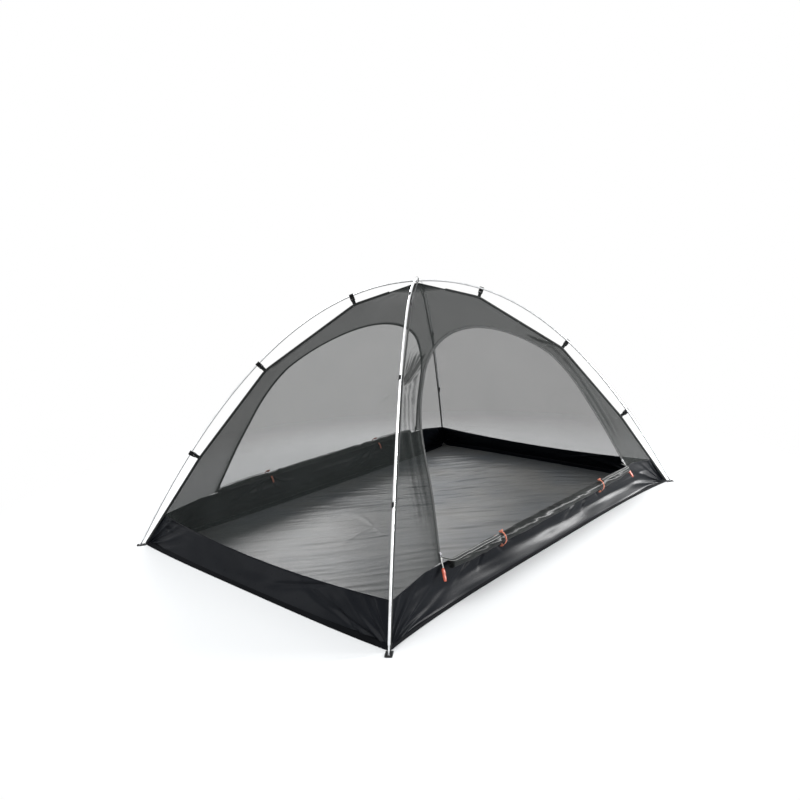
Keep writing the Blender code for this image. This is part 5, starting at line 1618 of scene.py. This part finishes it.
def makeSliderPull(corner):
    # Wire loop, white cord and moulded tab, hanging from the slider's bridge
    look = pullLook
    body = f"zip_pull_{corner}"
    origin, axis = hingeOf(body)
    points = [np.array(vert.co) for vert in frame["nodes"][body].data.vertices]
    far = max(points, key=lambda point: np.linalg.norm(point - origin))
    down = squareTo(axis, far - origin)
    out = np.cross(axis, down)
    if out[1] * corners[corner][1] < 0:
        out = -out

    def spot(x, y=0.0, z=0.0):
        return origin + down * x + axis * y + out * z

    def strand(name, line, outline, material, scales=None):
        return sweep(f"{name}_{corner}", np.array(line), out, ellipse(*outline), material, scales)

    length = look["loopLength"]
    loop = [(length * x, look["loopHalf"] * y) for x, y in look["loop"]]
    shares = np.linspace(0, 1, look["loopSteps"], endpoint=False)
    dense = []
    for (x0, y0), (x1, y1) in zip(loop, loop[1:] + loop[:1]):
        dense += [(x0 + (x1 - x0) * t, y0 + (y1 - y0) * t) for t in shares]
    wire = strand("pullLoop", [spot(x, y) for x, y in dense + dense[:1]], look["wire"], "sliderMetal")
    rideOn(wire, body, "dark_slider_metal", body)

    cordEnd = length + look["cordLength"]
    start, span = length - look["cordStart"], cordEnd - length + look["cordInTab"]
    line = [spot(start + span * t, look["cordSway"] * math.sin(look["swayTurn"] * t))
            for t in np.linspace(0, 1, look["cordSteps"])]
    rideOn(strand("pullCord", line, look["cord"], "pullCord"), body, "orange_pull")
    x, y, z = look["knotSize"]
    line = [spot(length + look["knotPlace"] + x * math.sin(a), y * math.cos(a), z * math.sin(2 * a))
            for a in np.linspace(0, 2 * math.pi, look["knotSteps"])]
    rideOn(strand("pullKnot", line, look["knot"], "pullCord"), body, "orange_pull")
    line = [spot(cordEnd + mark) for mark, _ in look["tab"]]
    halves = [half for _, half in look["tab"]]
    rideOn(strand("pullTab", line, look["tabSection"], "pullTab", halves), body, "orange_pull")


# Rolled doors and their ties

rollLook = {
    # reading the solid: sections looked at, their reach, and the least height of a round one
    "sections": 13, "near": 0.002, "leastPoints": 8, "least": 0.030, "inset": 0.0008,
    # the winding
    "turns": 7.5, "stepsPerTurn": 32, "columns": 190, "innerRadius": 0.0035, "endRoom": 0.001,
    "wind": 0.85, "startTurn": 30, "thickness": 0.0004, "turnCloth": 0.014,
    "squeeze": 0.16, "squeezeWidth": 0.030,
    # lumps: depth, slack along the roll, and two layers of noise
    "lump": 0.16, "slack": 0.015, "lumpStretch": 3, "lumpRound": 0.03, "lumpClimb": 0.012,
    "lumpCell": 0.016, "secondLump": 0.7, "secondLean": 0.02, "secondCell": 0.028, "tiedLump": 0.6,
    "twist": 0.10, "twistWaves": 9, "twistPower": 6,
}
flapLook = {
    "room": 0.020, "columns": 150, "rows": 9, "clear": 0.0002, "reach": 0.010, "drop": 0.0090,
    "bow": 0.0012, "ripple": 0.0006, "rippleWaves": 40, "rippleLean": 3, "cloth": 0.014,
    "thickness": 0.0007,
}
# the door's own half of the zip, which lies on top of the roll and runs up to the sliders
peeledLook = {
    "start": 0.02, "endRoom": 0.004, "steps": 40, "lean": 62, "wave": 0.0008, "waves": 60,
    "slider": (0.005, 0.004), "climbSteps": 9, "ease": 6, "tape": (0.0105, 0.0010),
    "edgePlace": 0.0052, "edgeOut": 0.0004, "edge": (0.0008, 0.0008, 8),
}
tieLook = {
    "band": (0.0076, 0.0020), "turn": math.radians(168), "from": -0.05, "steps": 60,
    "lean": 0.004, "wobble": 0.0005, "wobbleTurn": 7,
    # the knots at its foot and below its toggle: places in the band, size and shape
    "knots": {"Knot": 3, "Bow": -2}, "knotSize": 0.0062, "knotShape": (0.95, 0.45, 0.60),
    "knotTurns": 1.9, "knotSteps": 60, "knotFacing": (0.2, 1.0, 0.3), "knot": (0.0018, 0.0018, 8),
    # the toggle: distances from its middle with its radii
    "toggle": ((0.0030, 0.0024), (0.0060, 0.0031), (0.0100, 0.0030), (0.0116, 0.0022),
               (0.0120, 0.0010)),
    "toggleOut": 0.0022, "toggleSection": (1.0, 1.0, 16),
    # the end that is sewn to the wall's inner face
    "end": (0.0080, 0.0016), "endShares": (1.005, 0.80), "endSteps": 12, "endIn": 0.0022,
    "endStep": 0.02, "endSag": 0.004, "endLean": 0.004,
}


def rollLine(side):
    # The roll's axis and radius along x, from its solid's round sections
    look = rollLook
    body = f"door_roll_{side}"
    sideY = sides[side][1]
    points = np.array([vert.co for vert in frame["nodes"][body].data.vertices])
    half = np.abs(points[:, 0]).max() - look["inset"]
    centres, radii = [], []
    for mark in np.linspace(-1, 1, look["sections"]) * half:
        near = points[np.abs(points[:, 0] - mark) < look["near"]]
        if len(near) < look["leastPoints"] or np.ptp(near[:, 2]) < look["least"]:
            continue
        radius = np.ptp(near[:, 2]) / 2
        far = (near[:, 1] * sideY).max()
        centres.append((mark, sideY * (far - radius), near[:, 2].min() + radius))
        radii.append(radius)
    centres = np.array(centres)
    return centres, np.array(radii)


def makeRoll(side, seed):
    look = rollLook
    body = f"door_roll_{side}"
    sideY = sides[side][1]
    centres, radii = rollLine(side)
    marks = centres[:, 0]
    halfLength = marks[-1]
    x = np.linspace(-halfLength + look["endRoom"], halfLength - look["endRoom"], look["columns"])
    centreY = np.interp(x, marks, centres[:, 1])
    centreZ = np.interp(x, marks, centres[:, 2])
    radius = np.interp(x, marks, radii) - look["inset"]
    squeeze = np.zeros_like(x)
    for sign in (-1, 1):
        squeeze += np.exp(-((x - sign * tieOffset) / look["squeezeWidth"]) ** 2)
    radius = radius * (1 - look["squeeze"] * squeeze)
    turns = np.linspace(0, 2 * math.pi * look["turns"], int(look["turns"] * look["stepsPerTurn"]) + 1)
    share = (turns / turns[-1])[:, None]
    r = look["innerRadius"] + (radius[None] - look["innerRadius"]) * share ** look["wind"]
    angle = turns[:, None] + math.radians(look["startTurn"])
    slackX = x[None] + look["slack"] * np.sin(angle)
    climb = np.cos(angle) * look["lumpRound"] + look["lumpClimb"] * angle
    lumps = softNoise(slackX / look["lumpStretch"] + share, climb, look["lumpCell"], seed)
    second = softNoise(slackX + angle * look["secondLean"], np.sin(angle) * look["lumpRound"],
                       look["secondCell"], seed + 1)
    lumps = lumps + look["secondLump"] * second
    free = 1 - look["tiedLump"] * squeeze[None]
    r = r * (1 - look["lump"] * (0.5 + 0.5 * lumps) * share * free)
    twisted = np.abs(np.cos(angle * 2 + x[None] * look["twistWaves"] + lumps)) ** look["twistPower"]
    r = r * (1 - look["twist"] * twisted * share)
    points = np.stack([np.broadcast_to(x[None], r.shape),
                       centreY[None] + r * np.cos(angle) * sideY,
                       centreZ[None] + r * np.sin(angle)], -1)
    uv = np.stack(np.broadcast_arrays(x[None], turns[:, None] * look["turnCloth"]), -1)
    roll = gridMesh(f"rolledDoor_{side}", points, uv, "rollNet", flip=sideY < 0)
    giveThickness(roll, look["thickness"])
    rideOn(roll, body, "black_net", body)
    flap = makeFlap(side, halfLength)
    for sign in (-1, 1):
        makePeeledZip(side, sign, centres, radii)


def makeFlap(side, halfLength):
    # The strip between the sill's seam and the roll
    look = flapLook
    sideY = sides[side][1]
    hinge = hingeOf(f"door_roll_{side}")[0]
    half = halfLength - look["room"]
    flapX = np.linspace(-half, half, look["columns"])
    edge = []
    for share in np.linspace(0, 1, look["rows"]):
        y = hinge[1] + sideY * (look["clear"] + look["reach"] * share)
        z = hinge[2] - look["drop"] * share + look["bow"] * math.sin(share * math.pi)
        ripple = [math.sin(px * look["rippleWaves"] + share * look["rippleLean"]) for px in flapX]
        edge.append([(px, y, z + look["ripple"] * wave) for px, wave in zip(flapX, ripple)])
    down = np.linspace(0, look["cloth"], look["rows"])[:, None]
    uv = np.stack(np.broadcast_arrays(flapX[None], down), -1)
    flap = gridMesh(f"rollFlap_{side}", np.array(edge), uv, "binding", flip=sideY < 0)
    giveThickness(flap, look["thickness"])
    return rideOn(flap, f"door_roll_{side}", "black_net")


def makePeeledZip(side, sign, centres, radii):
    look = peeledLook
    marks = centres[:, 0]
    body = f"door_roll_{side}"
    sideY = sides[side][1]
    corner = f"{side}_{'left' if sign < 0 else 'right'}"
    low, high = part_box(f"zip_slider_{corner}")
    x = sign * np.linspace(tieOffset + look["start"], marks[-1] - look["endRoom"], look["steps"])
    lean = math.radians(look["lean"])
    radius = np.interp(x, marks, radii)
    path = np.stack([x, np.interp(x, marks, centres[:, 1]) + sideY * radius * math.cos(lean),
                     np.interp(x, marks, centres[:, 2]) + radius * math.sin(lean)], 1)
    path[:, 2] += look["wave"] * np.sin(x * look["waves"])
    inside, under = look["slider"]
    last = np.array([(low.x + high.x) / 2 - sign * inside, (low.y + high.y) / 2, low.z - under])
    climb = np.linspace(0, 1, look["climbSteps"])[1:, None]
    path = ease(np.vstack([path, path[-1] * (1 - climb) + last * climb]), look["ease"])
    facing = unit(np.array([0, sideY * math.cos(lean), math.sin(lean)]))
    rail = sweep(f"peeledZip_{corner}", path, facing, flatBand(*look["tape"]), "zipTape")
    rideOn(rail, body, "black_zip_tape")
    across = np.cross(facing, unit(np.gradient(path, axis=0)))
    for place, edge in (("inner", -1), ("outer", 1)):
        line = path + across * edge * look["edgePlace"] + facing * look["edgeOut"]
        cord = sweep(f"zipEdge_{corner}_{place}", line, facing, ellipse(*look["edge"]), "zipEdge")
        rideOn(cord, body, "black_zip_tape")


def makeDoorTie(corner):
    # A flat elastic loop over the roll, with a toggle at its free end and a knot at its foot
    look = tieLook
    body = f"door_tie_{corner}"
    side = corner.split("_")[0]
    sideX, sideY = corners[corner]
    centres = rollLine(side)[0]
    x = sideX * tieOffset
    centre = np.array([np.interp(x, centres[:, 0], centres[:, k]) for k in range(3)])
    spoke = hingeOf(body)[0] - centre
    spoke[0] = 0
    ring = float(np.linalg.norm(spoke))
    t = np.linspace(look["from"], 1, look["steps"])
    angle = math.atan2(spoke[2], spoke[1] * sideY) + look["turn"] * t
    path = np.stack([x + look["lean"] * (t - 0.5) + look["wobble"] * np.sin(look["wobbleTurn"] * t),
                     centre[1] + sideY * ring * np.cos(angle),
                     centre[2] + ring * np.sin(angle)], 1)
    outward = unit(path - centre) * np.array([0, 1, 1])
    band = sweep(f"tieBand_{corner}", path, outward, flatBand(*look["band"]), "elastic")
    rideOn(band, body, "orange_elastic", body)
    a = np.linspace(0, 2 * math.pi * look["knotTurns"], look["knotSteps"])
    wide, deep, tall = (look["knotSize"] * share for share in look["knotShape"])
    for label, index in look["knots"].items():
        coil = path[index] + np.stack([wide * np.cos(a), deep * np.sin(2 * a), tall * np.sin(a)], 1)
        knot = sweep(f"tie{label}_{corner}", coil, look["knotFacing"], ellipse(*look["knot"]),
                     "elastic")
        rideOn(knot, body, "orange_elastic")
    top = path[-1] + unit(path[-1] - centre) * look["toggleOut"]
    beads = [(-mark, radius) for mark, radius in reversed(look["toggle"])] + list(look["toggle"])
    line = np.array([top + np.array([mark, 0, 0]) for mark, _ in beads])
    toggle = sweep(f"tieToggle_{corner}", line, (0, 0, 1.0), ellipse(*look["toggleSection"]), "elastic",
                   [radius for _, radius in beads])
    rideOn(toggle, body, "orange_elastic")

    high, low = look["endShares"]
    share = np.linspace(high, low, look["endSteps"])
    c = np.full(look["endSteps"], x / (shareAt(tent["sillHeight"]) * tent["halfLength"]))
    place, distance, height = wallGrid(side, c, share)
    folds = wallFolds(side, c, np.minimum(share, 1), place, height, wallSeeds[side])
    even = np.linspace(0, 1, look["endSteps"])
    inwards = distance - folds - look["endIn"] * smoothStep(high - share, 0.0, look["endStep"])
    inwards = inwards - look["endSag"] * even ** 2
    tail = np.stack([x + look["endLean"] * even, sideY * inwards, height], 1)
    end = sweep(f"tieEnd_{corner}", tail, (0, -sideY, 0.0), flatBand(*look["end"]), "elastic")
    rideOn(end, "tent", "orange_elastic")


# Everything together

nodeFinishes = {"zip_slider": "sliderMetal", "shock_cord": "shockCord"}
netSeeds = {side: 60 + index * 13 for index, side in enumerate(sides)}
rollSeeds = {"front": 81, "back": 91}


def dressNodes():
    # CAD pieces whose shape is right get their finish
    for start, finish in nodeFinishes.items():
        for name, node in frame["nodes"].items():
            if name.startswith(start):
                node.data.materials.clear()
                node.data.materials.append(materials[finish])


def main():
    makeCamera(cameraLook)
    makeStage(lightLook)
    dressNodes()
    makeFloor()
    for side in sides:
        makeLowWall(side, wallSeeds[side])
    print("floor and low walls made")
    for side, seed in netSeeds.items():
        if slopes[side]["door"]:
            makeDoorNet(side, seed)
            makeZip(side, seed)
        else:
            makeEndNet(side, seed)
    makeApexPatch()
    print("canopy made")
    for corner in corners:
        makeBinding(corner)
        for index in (1, 2, 3):
            makeHook(corner, index)
        makeStrap(corner)
        makeSliderPull(corner)
    makeApexTie()
    makePoles()
    print("bindings, straps, pulls and poles made")
    for side, seed in rollSeeds.items():
        makeRoll(side, seed)
    for corner in corners:
        makeDoorTie(corner)
    print("rolled doors and ties made")


main()
bpy.context.scene.view_settings.view_transform = "Standard"
